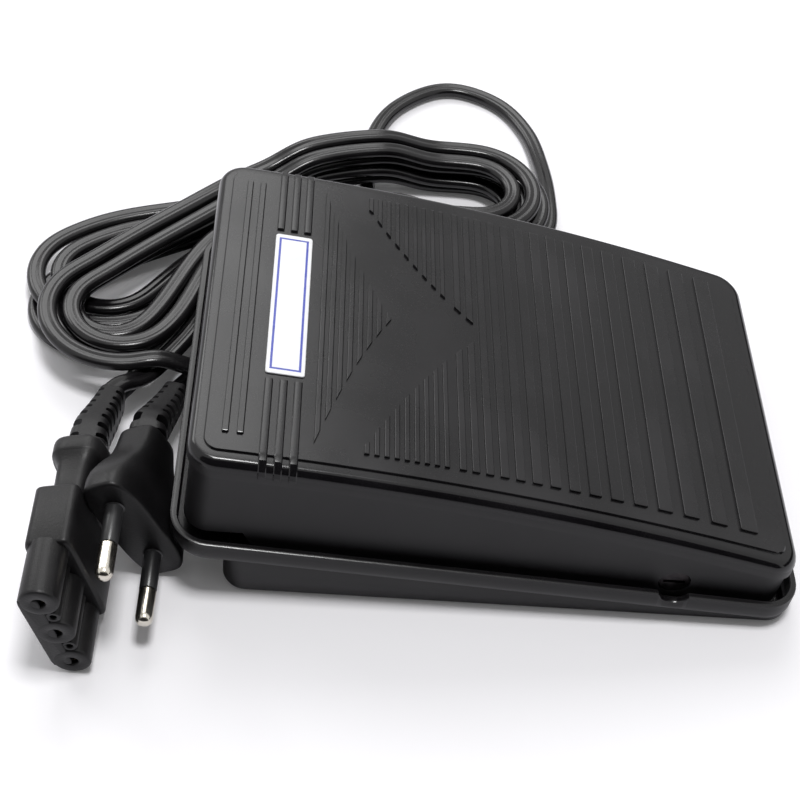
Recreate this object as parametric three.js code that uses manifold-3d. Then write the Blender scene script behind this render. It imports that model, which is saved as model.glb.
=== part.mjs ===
// Foot pedal of a sewing machine: a tread cover hinged on a base tray, the speed control inside it,
// and two flat leads. One runs from the tray to the machine's three-way connector, the other from the
// same connector to a two-pin mains plug. Their slack lies in one hank behind the toe.
// Millimetres, +Z up. The toe points to -X, the heel to +X, and the floor is z = 0.
import * as THREE from "three";
import { mergeVertices } from "three/addons/utils/BufferGeometryUtils.js";
import Module from "manifold-3d";

const wasm = await Module();
wasm.setup();

// ---- driving dimensions ----
const clearance = 0.3;          // running or seating gap between neighbours
const degree = Math.PI / 180;

// tray: rim, pan and flange
const rimToe = -74.5;
const rimHeel = 74.5;
const rimHalfWidth = 51.5;
const rimCorner = 9;
const rimWall = 1.8;
const rimHeight = 5;
const rimMidHeight = 9.2;       // underside of the rim at x = 0
const rimSlope = 0.08;          // how much it rises towards the toe, per mm
const panToe = -62.1;
const panHeel = 73.2;
const panInset = 1.3;            // the pan's sides inside the rim's
const panHalfWidth = rimHalfWidth - panInset;
const panCorner = 5.5;
const panWall = 1.4;
const panBottom = 0.6;
const panFloor = 2;
const ribPitch = 24;            // ribs on the pan's floor, under the heel
const ribStart = 34;
const ribEnd = 66;
const ribWidth = 1.4;
const ribHeight = 2.5;

// tread cover
const coverToe = -70.7;
const coverHeel = 71.5;
const coverGap = 0.6;            // between the cover and the rim's wall
const coverHalfWidth = rimHalfWidth - rimWall - coverGap;
const coverCorner = 7;
const plateToeHeight = 46.7;
const plateDrop = 25.8;         // from the toe to the heel
const plateCrown = 15.2;        // how much the side profile bulges, four times its height
const plateWall = 2.3;
const skirtWall = 1.8;
const lip = 0.8;
const lipHeight = 2;
const roundWidth = 2.2;
const roundHeight = 3.2;
const ledge = 1.5;
const fieldStep = 0.5;
const skirtOverlap = 1.3;       // the skirt's edge above the underside of the rim
const toeLean = 1.5;
const travel = 4.4;             // room under the toe of the skirt

// hinge and stops
const pivotX = 43;
const pivotZ = 12;
const pivotShank = 4.2;
const pivotHead = 7;
const pivotHeadHeight = 1.2;
const pivotRecess = 7.6;
const pivotBoss = 13;
const pivotBossHeight = 3;
const bracketThickness = 3.4;
const stopY = 30;
const stopX = -54.9;
const stopHeight = 8.5;
const stopCatch = 2.5;

// springs
const springX = -42.5;
const springY = 22.5;
const springSeat = 10;
const springLength = 16;
const springRadius = 4.4;
const springWire = 1.1;
const springTurns = 6;

// tread bars
const barHeight = 0.6;
const barRoot = 0.4;            // how deep a bar reaches into the plate
const barEnd = 41.5;            // near end of the long bars
const barFarEnd = 42.5;
const toeBars = [-62.7, -59.5];
const toeBarWidth = 1.4;
const edgeBars = 3;
const edgeBarFirst = 3.4;       // toe side of the label's middle
const edgeBarPitch = 3.3;
const edgeBarWidth = 1.8;
const edgeBarStand = 0.45;      // how far an edge bar stands out from the cover's side
const triangleBars = 8;
const triangleX = -43;
const trianglePitch = 2.23;
const triangleWidth = 1.2;
const triangleNear = [[-43.7, -40.9], [-26.8, 0.5]];
const triangleFar = [[-43.7, 42], [-26.8, 1.2]];
const triangleBow = 3.3;        // how far its slanting sides are bowed towards its middle
const groupBars = 9;
const groupX = -32;
const groupPitch = 2.25;
const groupWidth = 1.15;
const groupNear = [[-32, -38.5], [-6, -1]];
const groupFar = [[-32, 37.5], [-6, 4]];
const groupBow = 2.9;
const shortestBar = 1.5;
const fullBarX = -10.4;
const fullBarLast = 66;
const fullPitch = 2.95;
const fullPitchGrowth = 1.075;
const fullBarShare = 0.55;      // of the pitch

// label
const labelX = -50.85;
const labelY = 0.8;
const labelLength = 45.8;
const labelWidth = 8.9;
const labelThickness = 0.35;
const labelGap = 0.06;          // film of adhesive under it
const labelMargin = 1.4;        // bare plate between the label and the edge bars

// speed control
const boardX = -5;
const boardY = -12;
const boardLength = 62;
const boardWidth = 44;
const boardThickness = 1.6;
const boardHeight = 6;
const boardHoleInset = 4;
const boardScrew = 2.6;
const controlX = -50;
const controlLength = 10;
const controlWidth = 18;
const controlHeight = 20;
const stemLength = 4;
const stemWidth = 6;
const stemTop = 27.7;
const stemBottom = 14;

// feet
const footX = 55;
const footToeX = -48;
const footInset = 13.5;         // from the rim's side
const footY = rimHalfWidth - footInset;
const footRadius = 5.5;
const footHeight = 2.4;

// leads
const leadWidth = 5;
const leadThickness = 3;
const leadTube = 3.6;
const exitY = 10.5;
const exitZ = 9.5;

// clamp on the pedal's lead, and its bar over two screws
const clampX = -53.5;
const clampLength = 5;
const clampSpan = 12;
const clampEnd = 2.4;
const clampBarHeight = 2.2;
const clampScrew = 2.6;
const sleeveRadius = 3.6;
const controlY = exitY - clampSpan / 2 - clampEnd - clearance - controlWidth / 2;

// connector to the machine: its mating face's middle, its lean, and its parts along its length
const connectorPlace = [-95.4, -74, 15.7];
const connectorLean = -14 * degree;
const contactPitch = 11.3;
const contactBore = 2.8;
const contactDepth = 12;
const barrelRadius = 4.3;
const barrelLength = 13;
const bodyWidth = 10.6;
const bodyHeight = 28.8;
const bodyEnd = 29;
const neckWidth = 8.4;
const neckHeight = 17;
const neckEnd = 43;
const collarWidth = 12.6;
const collarHeight = 19;
const collarEnd = 48;
const connectorReliefEnd = [-92.6, -3.6, 11.6];

// mains plug: the middle of its pin face, its lean, its body and its pins
const plugPlace = [-82, -47.2, 17.2];
const plugLean = -25.5 * degree;
const plugHeight = 34.6;
const plugWidth = 12.2;
const plugLength = 26;
const plugReliefEnd = [-77.9, 3, 8.2];
const pinPitch = 18.6;
const pinDiameter = 4;
const pinLength = 19;
const pinSleeve = 10;

// ---- materials ----
const plastic = { color: 0x17171a, roughness: 0.38, metalness: 0 };
const softPlastic = { color: 0x1b1b1d, roughness: 0.55, metalness: 0 };
const rubber = { color: 0x202021, roughness: 0.8, metalness: 0 };
const steel = { color: 0xb9bcc0, roughness: 0.3, metalness: 1 };
const nickel = { color: 0xd8d2c6, roughness: 0.18, metalness: 1 };
const brass = { color: 0xb08d4c, roughness: 0.35, metalness: 1 };
const board = { color: 0x8a6a38, roughness: 0.6, metalness: 0 };
const aluminium = { color: 0xa9acb0, roughness: 0.45, metalness: 1 };
const paper = { color: 0xf2f4f8, roughness: 0.35, metalness: 0 };
const amber = { color: 0xc88a2a, roughness: 0.5, metalness: 0 };
const copper = { color: 0xa8602f, roughness: 0.4, metalness: 1 };
const green = { color: 0x2f7d46, roughness: 0.5, metalness: 0 };

// ---- solids ----
function toSolid(geometry) {
  const bare = new THREE.BufferGeometry();
  bare.setAttribute("position", geometry.getAttribute("position").clone());
  if (geometry.index) bare.setIndex(geometry.index.clone());
  const merged = mergeVertices(bare, 1e-4);
  const vertProperties = new Float32Array(merged.getAttribute("position").array);
  const triVerts = new Uint32Array(merged.index.array);
  return new wasm.Manifold(new wasm.Mesh({ numProp: 3, vertProperties, triVerts }));
}

function toGeometry(solid) {
  const mesh = solid.getMesh();
  const geometry = new THREE.BufferGeometry();
  geometry.setAttribute("position", new THREE.BufferAttribute(new Float32Array(mesh.vertProperties), 3));
  geometry.setIndex(new THREE.BufferAttribute(new Uint32Array(mesh.triVerts), 1));
  geometry.computeVertexNormals();
  return geometry;
}

// The first geometry with some joined to it and others cut away.
function shape(first, added, cuts = []) {
  let solid = toSolid(first);
  for (const geometry of added) solid = solid.add(toSolid(geometry));
  for (const geometry of cuts) solid = solid.subtract(toSolid(geometry));
  return toGeometry(solid);
}

// A box between two corners.
function box(x0, x1, y0, y1, z0, z1) {
  const geometry = new THREE.BoxGeometry(x1 - x0, y1 - y0, z1 - z0);
  return geometry.translate((x0 + x1) / 2, (y0 + y1) / 2, (z0 + z1) / 2);
}

// An upright cylinder from z0 to z1.
function post(x, y, radius, z0, z1, sides = 20) {
  const geometry = new THREE.CylinderGeometry(radius, radius, z1 - z0, sides);
  return geometry.rotateX(Math.PI / 2).translate(x, y, (z0 + z1) / 2);
}

// A level cylinder along Y from y0 to y1.
function axle(x, z, radius, y0, y1, sides = 24) {
  return new THREE.CylinderGeometry(radius, radius, y1 - y0, sides).translate(x, (y0 + y1) / 2, z);
}

// A closed skin over rings of equal length. Each end is closed by strips across the ring, so a ring
// that is curved along X and straight across Y is closed without a bulge.
function loft(rings) {
  const size = rings[0].length;
  const positions = [];
  const index = [];
  for (const ring of rings) {
    for (const point of ring) positions.push(point.x, point.y, point.z);
  }
  for (let level = 0; level + 1 < rings.length; level++) {
    for (let side = 0; side < size; side++) {
      const a = level * size + side;
      const b = level * size + (side + 1) % size;
      index.push(a, b, b + size, a, b + size, a + size);
    }
  }
  const last = (rings.length - 1) * size;
  for (let side = 0; side < size / 2 - 1; side++) {
    const opposite = size - 1 - side;
    index.push(side, opposite - 1, side + 1, side, opposite, opposite - 1);
    index.push(last + side, last + side + 1, last + opposite - 1);
    index.push(last + side, last + opposite - 1, last + opposite);
  }
  const geometry = new THREE.BufferGeometry();
  geometry.setAttribute("position", new THREE.Float32BufferAttribute(positions, 3));
  geometry.setIndex(index);
  if (signedVolume(positions, index) < 0) {
    for (let i = 0; i < index.length; i += 3) [index[i], index[i + 1]] = [index[i + 1], index[i]];
    geometry.setIndex(index);
  }
  geometry.computeVertexNormals();
  return geometry;
}

function signedVolume(positions, index) {
  const corner = (i) => new THREE.Vector3().fromArray(positions, 3 * index[i]);
  let volume = 0;
  for (let i = 0; i < index.length; i += 3) volume += corner(i).dot(corner(i + 1).cross(corner(i + 2)));
  return volume;
}

// One ring of a rounded rectangle in plan, symmetric about y = 0, at a height that may follow x.
const cornerSteps = 4;
const lengthSteps = 14;
function planRing({ toe, heel, half, corner, height }) {
  const near = [];
  for (let i = 0; i <= cornerSteps; i++) {
    const angle = (Math.PI / 2) * (i / cornerSteps);
    near.push([toe + corner * (1 - Math.cos(angle)), -half + corner * (1 - Math.sin(angle))]);
  }
  for (let i = 1; i < lengthSteps; i++) {
    near.push([toe + corner + (heel - toe - 2 * corner) * (i / lengthSteps), -half]);
  }
  for (let i = 0; i <= cornerSteps; i++) {
    const angle = (Math.PI / 2) * (i / cornerSteps);
    near.push([heel - corner * (1 - Math.sin(angle)), -half + corner * (1 - Math.cos(angle))]);
  }
  const points = near.map(([x, y]) => new THREE.Vector3(x, y, height(x)));
  return points.concat(points.map((p) => new THREE.Vector3(p.x, -p.y, p.z)).reverse());
}

const tub = (...levels) => loft(levels.map(planRing));
const level = (z) => () => z;

// An outline in the XZ plane, pushed from y0 to y1.
function sideExtrude(points, y0, y1) {
  const outline = new THREE.Shape(points.map(([x, z]) => new THREE.Vector2(x, z)));
  const geometry = new THREE.ExtrudeGeometry(outline, { depth: y1 - y0, bevelEnabled: false });
  return geometry.rotateX(Math.PI / 2).translate(0, y1, 0);
}

// A block with rounded edges along Y.
function roundedBlock(width, height, corner, y0, y1) {
  const x = width / 2;
  const z = height / 2;
  const outline = new THREE.Shape();
  outline.moveTo(-x + corner, -z);
  outline.lineTo(x - corner, -z);
  outline.absarc(x - corner, -z + corner, corner, -Math.PI / 2, 0);
  outline.absarc(x - corner, z - corner, corner, 0, Math.PI / 2);
  outline.absarc(-x + corner, z - corner, corner, Math.PI / 2, Math.PI);
  outline.absarc(-x + corner, -z + corner, corner, Math.PI, 1.5 * Math.PI);
  const settings = { depth: y1 - y0, bevelEnabled: false, curveSegments: 4 };
  return new THREE.ExtrudeGeometry(outline, settings).rotateX(Math.PI / 2).translate(0, y1, 0);
}

// A round or oval tube whose section changes along a curve.
function taperTube(curve, steps, sides, sizeAt) {
  const up = new THREE.Vector3(0, 0, 1);
  const rings = [];
  for (let i = 0; i <= steps; i++) {
    const along = i / steps;
    const point = curve.getPoint(along);
    const tangent = curve.getTangent(along);
    const across = new THREE.Vector3().crossVectors(tangent, up).normalize();
    const rise = new THREE.Vector3().crossVectors(across, tangent).normalize();
    const [wide, high] = sizeAt(along);
    const ring = [];
    for (let side = 0; side < sides; side++) {
      const angle = 2 * Math.PI * (side + 0.5) / sides;
      const offset = across.clone().multiplyScalar(wide * Math.cos(angle) / 2);
      ring.push(offset.addScaledVector(rise, high * Math.sin(angle) / 2).add(point));
    }
    rings.push(ring);
  }
  return loft(rings);
}

const pedal = new THREE.Group();
function place(parent, name, geometry, look) {
  const mesh = new THREE.Mesh(geometry, new THREE.MeshStandardMaterial(look));
  mesh.name = name;
  parent.add(mesh);
  return mesh;
}

// ---- shared surfaces ----
const rimBottom = (x) => rimMidHeight - rimSlope * x;
const rimTop = (x) => rimBottom(x) + rimHeight;
const fieldToe = coverToe + ledge;
const fieldSpan = coverHeel - roundWidth - ledge - fieldToe + ledge;
function plateTop(x) {
  const t = (x - fieldToe) / fieldSpan;
  return plateToeHeight - plateDrop * t + plateCrown * t * (1 - t);
}
const underPlate = (x) => plateTop(x) - plateWall;

// ---- base tray ----
// Moulded in one: a shallow pan under the heel two thirds, a sloping rim round the cover, and a flange
// that closes the rim under the overhanging toe.
const panLine = (inset, height) => ({
  toe: panToe + inset, heel: panHeel - inset, half: panHalfWidth - inset, corner: panCorner - inset, height,
});
const rimLine = (inset, height) => ({
  toe: rimToe + inset, heel: rimHeel - inset, half: rimHalfWidth - inset, corner: rimCorner - inset, height,
});
const pivotSides = [-1, 1];
const skirtFace = coverHalfWidth - lip;
const bossInside = skirtFace - pivotBossHeight;
const bracketOutside = bossInside - clearance;
const bracketInside = bracketOutside - bracketThickness;
const controlSeat = panFloor;

const boardLeft = boardX - boardLength / 2;
const boardNear = boardY - boardWidth / 2;
const boardHoles = [];
for (const x of [boardLeft + boardHoleInset, boardLeft + boardLength - boardHoleInset]) {
  for (const y of [boardNear + boardHoleInset, boardNear + boardWidth - boardHoleInset]) {
    boardHoles.push([x, y]);
  }
}
const feet = [];
for (const x of [footToeX, footX]) {
  for (const y of [-footY, footY]) feet.push([x, y]);
}

const clampScrews = [exitY - clampSpan / 2, exitY + clampSpan / 2];
const clampSeat = exitZ - 1;
const stopPostX = stopX + stopCatch + 1.8;

function trayGeometry() {
  const overTop = 20;
  const rim = tub(rimLine(0, rimBottom), rimLine(0, rimTop));
  const hollows = [
    tub(panLine(panWall, level(panFloor)), panLine(panWall, (x) => rimTop(x) + overTop)),
    tub(rimLine(rimWall, (x) => rimBottom(x) + panWall), rimLine(rimWall, (x) => rimTop(x) + overTop)),
  ];
  const pan = tub(panLine(0, level(panBottom)), panLine(0, (x) => rimBottom(x) + 1));
  const shell = shape(pan, [rim], hollows);

  const added = [];
  for (const [x, y] of boardHoles) added.push(post(x, y, 3.4, panBottom + 0.4, boardHeight));
  for (const [x, y] of feet) added.push(post(x, y, footRadius + 1.6, panBottom + 0.4, footHeight + 1.4));
  for (const side of pivotSides) {
    const inner = Math.min(side * bracketOutside, side * bracketInside);
    added.push(box(pivotX - 5, pivotX + 5, inner, inner + bracketThickness, panFloor - 0.5, pivotZ));
    added.push(axle(pivotX, pivotZ, 5, inner, inner + bracketThickness));
    // stop: a post with a ledge that the cover's hook comes up under
    const stop = side * stopY;
    added.push(box(stopPostX, stopPostX + 3, stop - 3, stop + 3, panFloor - 0.5, stopHeight + 2.5));
    added.push(box(stopX + 1.7, stopPostX + 1, stop - 3, stop + 3, stopHeight + clearance, stopHeight + 2.5));
    added.push(post(springX, side * springY, springRadius + 1.2, panFloor - 0.5, springSeat));
  }
  for (const y of clampScrews) added.push(post(clampX, y, 2.6, panFloor - 0.5, clampSeat));
  // ribs that stiffen the pan under the heel
  for (const y of [-ribPitch, 0, ribPitch]) {
    const half = ribWidth / 2;
    added.push(box(ribStart, ribEnd, y - half, y + half, panFloor - 0.5, panFloor + ribHeight));
  }

  const cuts = [];
  for (const [x, y] of boardHoles) cuts.push(post(x, y, boardScrew / 2 + 0.1, panFloor, boardHeight + 1, 12));
  for (const [x, y] of feet) cuts.push(post(x, y, footRadius + clearance, panBottom - 1, footHeight));
  for (const y of clampScrews) cuts.push(post(clampX, y, clampScrew / 2 + 0.1, panFloor, clampSeat + 1, 12));
  cuts.push(axle(pivotX, pivotZ, pivotShank / 2 + 0.1, -bracketOutside - 1, bracketOutside + 1));
  // the recess that shows the pivot's head is let into the edge of the rim
  for (const side of pivotSides) {
    const outside = side * (rimHalfWidth + 1);
    const inside = side * (bracketOutside + 1);
    cuts.push(axle(pivotX, pivotZ, pivotRecess / 2, Math.min(inside, outside), Math.max(inside, outside)));
  }
  // the leads' exit through the toe wall
  const exit = new THREE.CylinderGeometry(sleeveRadius + 0.2, sleeveRadius + 0.2, 6, 20);
  cuts.push(exit.rotateZ(Math.PI / 2).translate(panToe + panWall / 2, exitY, exitZ));
  return shape(shell, added, cuts);
}
place(pedal, "base_tray", trayGeometry(), plastic);

feet.forEach(([x, y], i) => {
  place(pedal, `rubber_foot_${i + 1}`, post(x, y, footRadius, 0, footHeight, 24), rubber);
});

// ---- tread cover ----
// A thin moulded hood, higher at the toe. Its top has a rounded edge, a narrow ledge and a ribbed field.
const coverLine = (inset, height, lean = 0) => ({
  toe: coverToe + inset - lean,
  heel: coverHeel - inset,
  half: coverHalfWidth - inset,
  corner: coverCorner - inset,
  height,
});
const skirtBottom = (x) => rimBottom(x) + skirtOverlap;
const edgeDrop = roundHeight + fieldStep;
const fieldHalfWidth = coverHalfWidth - roundWidth - ledge;
const below = (drop) => (x) => plateTop(x) - drop;

function coverSkin() {
  const outer = [
    coverLine(lip, skirtBottom, toeLean),
    coverLine(lip, below(edgeDrop + lipHeight)),
    coverLine(0, below(edgeDrop + lipHeight)),
    coverLine(0, below(edgeDrop)),
  ];
  const roundSteps = 4;
  for (let i = 1; i <= roundSteps; i++) {
    const angle = (Math.PI / 2) * (i / roundSteps);
    const inset = roundWidth * (1 - Math.cos(angle));
    outer.push(coverLine(inset, below(edgeDrop - roundHeight * Math.sin(angle))));
  }
  outer.push(coverLine(roundWidth + ledge, below(fieldStep)));
  outer.push(coverLine(roundWidth + ledge, plateTop));
  const inside = lip + skirtWall;
  const inner = tub(
    coverLine(inside, (x) => skirtBottom(x) - 1, toeLean),
    coverLine(inside, (x) => underPlate(x) - 2),
    coverLine(inside + 2, underPlate),
  );
  return shape(tub(...outer), [], [inner]);
}

// A strip of the plate between two lines across it, standing on the field. Each line is given by its
// x at the near and at the far end.
function bar(x, width, y0, y1) {
  const middle = plateTop(x);
  const rise = (plateTop(x + width / 2) - plateTop(x - width / 2)) / 2;
  const points = [
    [x - width / 2, middle - rise - barRoot],
    [x + width / 2, middle + rise - barRoot],
    [x + width / 2, middle + rise + barHeight],
    [x - width / 2, middle - rise + barHeight],
  ];
  return sideExtrude(points, y0, y1);
}

// The part of an edge bar that runs down over the rounded edge, on the side given: -1 near, 1 far. Its
// outline is drawn as (distance from the middle, height) and pushed along X.
function overEdge(x, width, side) {
  const top = plateTop(x);
  const start = fieldHalfWidth - 1;
  const roundStart = coverHalfWidth - roundWidth;
  const outline = new THREE.Shape();
  outline.moveTo(start, top - fieldStep - barHeight);
  outline.lineTo(roundStart, top - fieldStep - barHeight);
  outline.lineTo(coverHalfWidth - 1, top - edgeDrop);
  outline.lineTo(coverHalfWidth + edgeBarStand, top - edgeDrop);
  outline.lineTo(coverHalfWidth - 0.25, top - edgeDrop * 0.45);
  outline.lineTo(roundStart + 0.2, top + 0.25);
  outline.lineTo(start, top + barHeight);
  const piece = new THREE.ExtrudeGeometry(outline, { depth: width, bevelEnabled: false });
  piece.rotateX(Math.PI / 2).rotateZ(Math.PI / 2).translate(x - width / 2, 0, 0);
  if (side < 0) piece.rotateZ(Math.PI).translate(2 * x, 0, 0);
  return piece;
}

// The height at x of a slanting line given by its two ends, bowed sideways as a parabola.
function onLine([[x0, y0], [x1, y1]], bow, x) {
  const share = THREE.MathUtils.clamp((x - x0) / (x1 - x0), 0, 1);
  return y0 + (y1 - y0) * share + 4 * bow * share * (1 - share);
}

function treadBars() {
  const bars = toeBars.map((x) => bar(x, toeBarWidth, -barEnd + 1, barEnd));
  // bars over both long edges, cut short by the label
  for (let i = 0; i < edgeBars; i++) {
    const x = labelX - edgeBarFirst + edgeBarPitch * i;
    const near = labelY - labelLength / 2 - labelMargin;
    const far = labelY + labelLength / 2 + labelMargin;
    bars.push(bar(x, edgeBarWidth, -fieldHalfWidth + 0.2, near), overEdge(x, edgeBarWidth, -1));
    bars.push(bar(x, edgeBarWidth, far, fieldHalfWidth - 0.2), overEdge(x, edgeBarWidth, 1));
  }
  // a triangle behind the label
  for (let i = 0; i < triangleBars; i++) {
    const x = triangleX + trianglePitch * i;
    bars.push(bar(x, triangleWidth, onLine(triangleNear, triangleBow, x), onLine(triangleFar, -triangleBow, x)));
  }
  // bars in two halves that leave the arrowhead between them bare
  const halves = (x, width) => {
    const near = Math.max(onLine(groupNear, groupBow, x), -barEnd + shortestBar);
    bars.push(bar(x, width, -barEnd, near), bar(x, width, onLine(groupFar, -groupBow, x), barFarEnd));
  };
  for (let i = 0; i < groupBars; i++) halves(groupX + groupPitch * i, groupWidth);
  // broader bars whose pitch grows towards the heel, whole where they are past the arrowhead's point
  let pitch = fullPitch;
  for (let x = fullBarX; x < fullBarLast; x += pitch, pitch *= fullPitchGrowth) {
    if (x < groupNear[1][0]) halves(x, fullBarShare * pitch);
    else bars.push(bar(x, fullBarShare * pitch, -barEnd, barFarEnd));
  }
  return bars;
}

function coverGeometry() {
  const added = treadBars();
  const cuts = [];
  // under the toe the skirt stops above the flange, to leave the tread its travel
  const toeEdge = panToe + panCorner + clearance;
  const toeBottom = rimBottom(coverToe) + panWall + travel;
  cuts.push(box(coverToe - 10, toeEdge, -coverHalfWidth - 5, coverHalfWidth + 5, 0, toeBottom));
  for (const side of pivotSides) {
    const inside = side * bossInside;
    const outside = side * (skirtFace - 0.4);
    added.push(axle(pivotX, pivotZ, pivotBoss / 2, Math.min(inside, outside), Math.max(inside, outside)));
    const deep = side * (skirtFace - pivotHeadHeight - 0.6);
    const free = side * (coverHalfWidth + 2);
    cuts.push(axle(pivotX, pivotZ, pivotRecess / 2, Math.min(deep, free), Math.max(deep, free)));
    // stop hook
    const stop = side * stopY;
    added.push(box(stopX - 2.6, stopX, stop - 2, stop + 2, stopHeight - 2.5, plateTop(stopX) - 1));
    added.push(box(stopX - 1, stopX + stopCatch, stop - 2, stop + 2, stopHeight - 2.5, stopHeight));
    // post that the spring pushes on
    const springTop = springSeat + springLength;
    added.push(post(springX, side * springY, springRadius + 1.2, springTop, plateTop(springX) - 1));
  }
  cuts.push(axle(pivotX, pivotZ, pivotShank / 2 + clearance, -coverHalfWidth, coverHalfWidth));
  // rib over the control's stem, and ribs across the plate
  added.push(box(controlX - 2.5, controlX + 2.5, controlY - 4, controlY + 4, stemTop + clearance,
    plateTop(controlX) - 1));
  for (const x of [-20, 10, 35]) {
    const half = coverHalfWidth - lip - skirtWall + 0.4;
    added.push(box(x - 0.7, x + 0.7, -half, half, underPlate(x) - 3, underPlate(x) + 1));
  }
  return shape(coverSkin(), added, cuts);
}
place(pedal, "tread_cover", coverGeometry(), plastic);

function labelGeometry() {
  const steps = 3;
  const lower = [];
  const upper = [];
  for (let i = 0; i <= steps; i++) {
    const x = labelX + labelWidth * (i / steps - 0.5);
    lower.push([x, plateTop(x) + labelGap]);
    upper.push([x, plateTop(x) + labelGap + labelThickness]);
  }
  return sideExtrude([...lower, ...upper.reverse()], labelY - labelLength / 2, labelY + labelLength / 2);
}
place(pedal, "label", labelGeometry(), paper);

for (const side of pivotSides) {
  const name = side < 0 ? "pivot_screw_near" : "pivot_screw_far";
  const headInside = skirtFace - pivotHeadHeight - 0.6 + clearance;
  const head = axle(pivotX, pivotZ, pivotHead / 2, headInside, headInside + pivotHeadHeight);
  const shank = axle(pivotX, pivotZ, pivotShank / 2, bracketInside, headInside + 0.4);
  const slotBottom = headInside + pivotHeadHeight - 0.6;
  const slot = box(pivotX - 2.6, pivotX + 2.6, slotBottom, slotBottom + 5, pivotZ - 0.5, pivotZ + 0.5);
  const screw = shape(head, [shank], [slot]);
  if (side < 0) screw.rotateZ(Math.PI).translate(2 * pivotX, 0, 0);
  place(pedal, name, screw, steel);
}

// ---- return springs ----
function springGeometry() {
  const sides = 4;
  const stepsPerTurn = 8;
  const rings = [];
  const steps = springTurns * stepsPerTurn;
  const free = springLength - 2 * clearance - springWire;
  for (let i = 0; i <= steps; i++) {
    const angle = 2 * Math.PI * i / stepsPerTurn;
    const outward = new THREE.Vector3(Math.cos(angle), Math.sin(angle), 0);
    const centre = outward.clone().multiplyScalar(springRadius);
    centre.z = clearance + springWire / 2 + free * (i / steps);
    const ring = [];
    for (let side = 0; side < sides; side++) {
      const turn = 2 * Math.PI * (side + 0.5) / sides;
      const point = centre.clone().addScaledVector(outward, springWire / 2 * Math.cos(turn));
      point.z += springWire / 2 * Math.sin(turn);
      ring.push(point);
    }
    rings.push(ring);
  }
  return loft(rings);
}
for (const side of pivotSides) {
  const name = side < 0 ? "return_spring_near" : "return_spring_far";
  const spring = place(pedal, name, springGeometry(), steel);
  spring.position.set(springX, side * springY, springSeat);
}

// ---- speed control ----
const boardTop = boardHeight + boardThickness;
function boardGeometry() {
  const right = boardLeft + boardLength;
  const plate = box(boardLeft, right, boardNear, boardNear + boardWidth, boardHeight, boardTop);
  const radius = boardScrew / 2 + 0.2;
  const holes = boardHoles.map(([x, y]) => post(x, y, radius, boardHeight - 1, boardTop + 1, 12));
  return shape(plate, [], holes);
}
place(pedal, "circuit_board", boardGeometry(), board);
boardHoles.forEach(([x, y], i) => {
  const shank = post(x, y, boardScrew / 2, panFloor + 1, boardTop + 0.5, 12);
  place(pedal, `board_screw_${i + 1}`, shape(post(x, y, 2.5, boardTop, boardTop + 1.8, 12), [shank]), steel);
});

const sinkX = boardLeft + 46;
const sinkNear = boardNear + 10;
const sinkTop = boardTop + 14;
const finPitch = 5.6;
const finThickness = 1.2;
function heatSinkGeometry() {
  const plate = box(sinkX, sinkX + 1.6, sinkNear, sinkNear + 4 * finPitch + 1.6, boardTop, sinkTop);
  const fins = [];
  for (let i = 0; i < 5; i++) {
    const y = sinkNear + finPitch * i;
    fins.push(box(sinkX + 1, sinkX + 7, y, y + finThickness, boardTop, sinkTop));
  }
  return shape(plate, fins);
}
place(pedal, "heat_sink", heatSinkGeometry(), aluminium);
const triac = box(sinkX - 4.6, sinkX, boardNear + 17, boardNear + 27, boardTop, boardTop + 12);
place(pedal, "power_transistor", triac, softPlastic);
const capacitor = box(boardLeft + 14, boardLeft + 32, boardNear + 6, boardNear + 14, boardTop, boardTop + 13);
place(pedal, "capacitor", capacitor, amber);
const choke = post(boardLeft + 24, boardNear + 28, 7, boardTop, boardTop + 12, 16);
place(pedal, "choke", choke, copper);
const terminalPitch = 5;
const terminalNear = boardNear + 20;
const terminals = box(
  boardLeft + 2, boardLeft + 10, terminalNear, terminalNear + 3 * terminalPitch, boardTop, boardTop + 9,
);
const terminalHoles = [0.5, 1.5, 2.5].map((i) => (
  post(boardLeft + 6, terminalNear + terminalPitch * i, 1.4, boardTop + 5, boardTop + 10, 10)
));
place(pedal, "terminal_block", shape(terminals, [], terminalHoles), green);

function controlGeometry() {
  const x0 = controlX - controlLength / 2;
  const y0 = controlY - controlWidth / 2;
  const body = box(x0, x0 + controlLength, y0, y0 + controlWidth, controlSeat, controlHeight);
  const halfLength = stemLength / 2 + clearance;
  const halfWidth = stemWidth / 2 + clearance;
  const shaft = box(
    controlX - halfLength, controlX + halfLength, controlY - halfWidth, controlY + halfWidth,
    stemBottom - travel, controlHeight + 1,
  );
  return shape(body, [], [shaft]);
}
place(pedal, "speed_control", controlGeometry(), softPlastic);
const stem = box(
  controlX - stemLength / 2, controlX + stemLength / 2, controlY - stemWidth / 2, controlY + stemWidth / 2,
  stemBottom, stemTop,
);
place(pedal, "control_stem", stem, paper);

// ---- lead exit: gland, clamp and its screws ----
// The gland is a rubber sleeve with a collar on each side of the toe wall and a tapered relief outside.
const reliefLength = 8.2;
function glandGeometry() {
  const inside = panToe + panWall;
  const reliefTip = panToe - 2 - reliefLength;
  const profile = [
    [0, inside + 11.5], [sleeveRadius, inside + 11.5], [sleeveRadius, inside + 1.9],
    [sleeveRadius + 1.6, inside + 1.9], [sleeveRadius + 1.6, inside + 0.2], [sleeveRadius, inside + 0.2],
    [sleeveRadius, panToe - 0.2], [sleeveRadius + 0.9, panToe - 0.2], [sleeveRadius + 0.9, panToe - 2],
    [sleeveRadius - 0.2, panToe - 2], [leadTube / 2 + 0.6, reliefTip], [0, reliefTip],
  ];
  const points = profile.map(([radius, x]) => new THREE.Vector2(radius, x)).reverse();
  const lathe = new THREE.LatheGeometry(points, 20);
  // the profile's axis is turned from Y to X
  return lathe.rotateZ(-Math.PI / 2).translate(0, exitY, exitZ);
}
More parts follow.
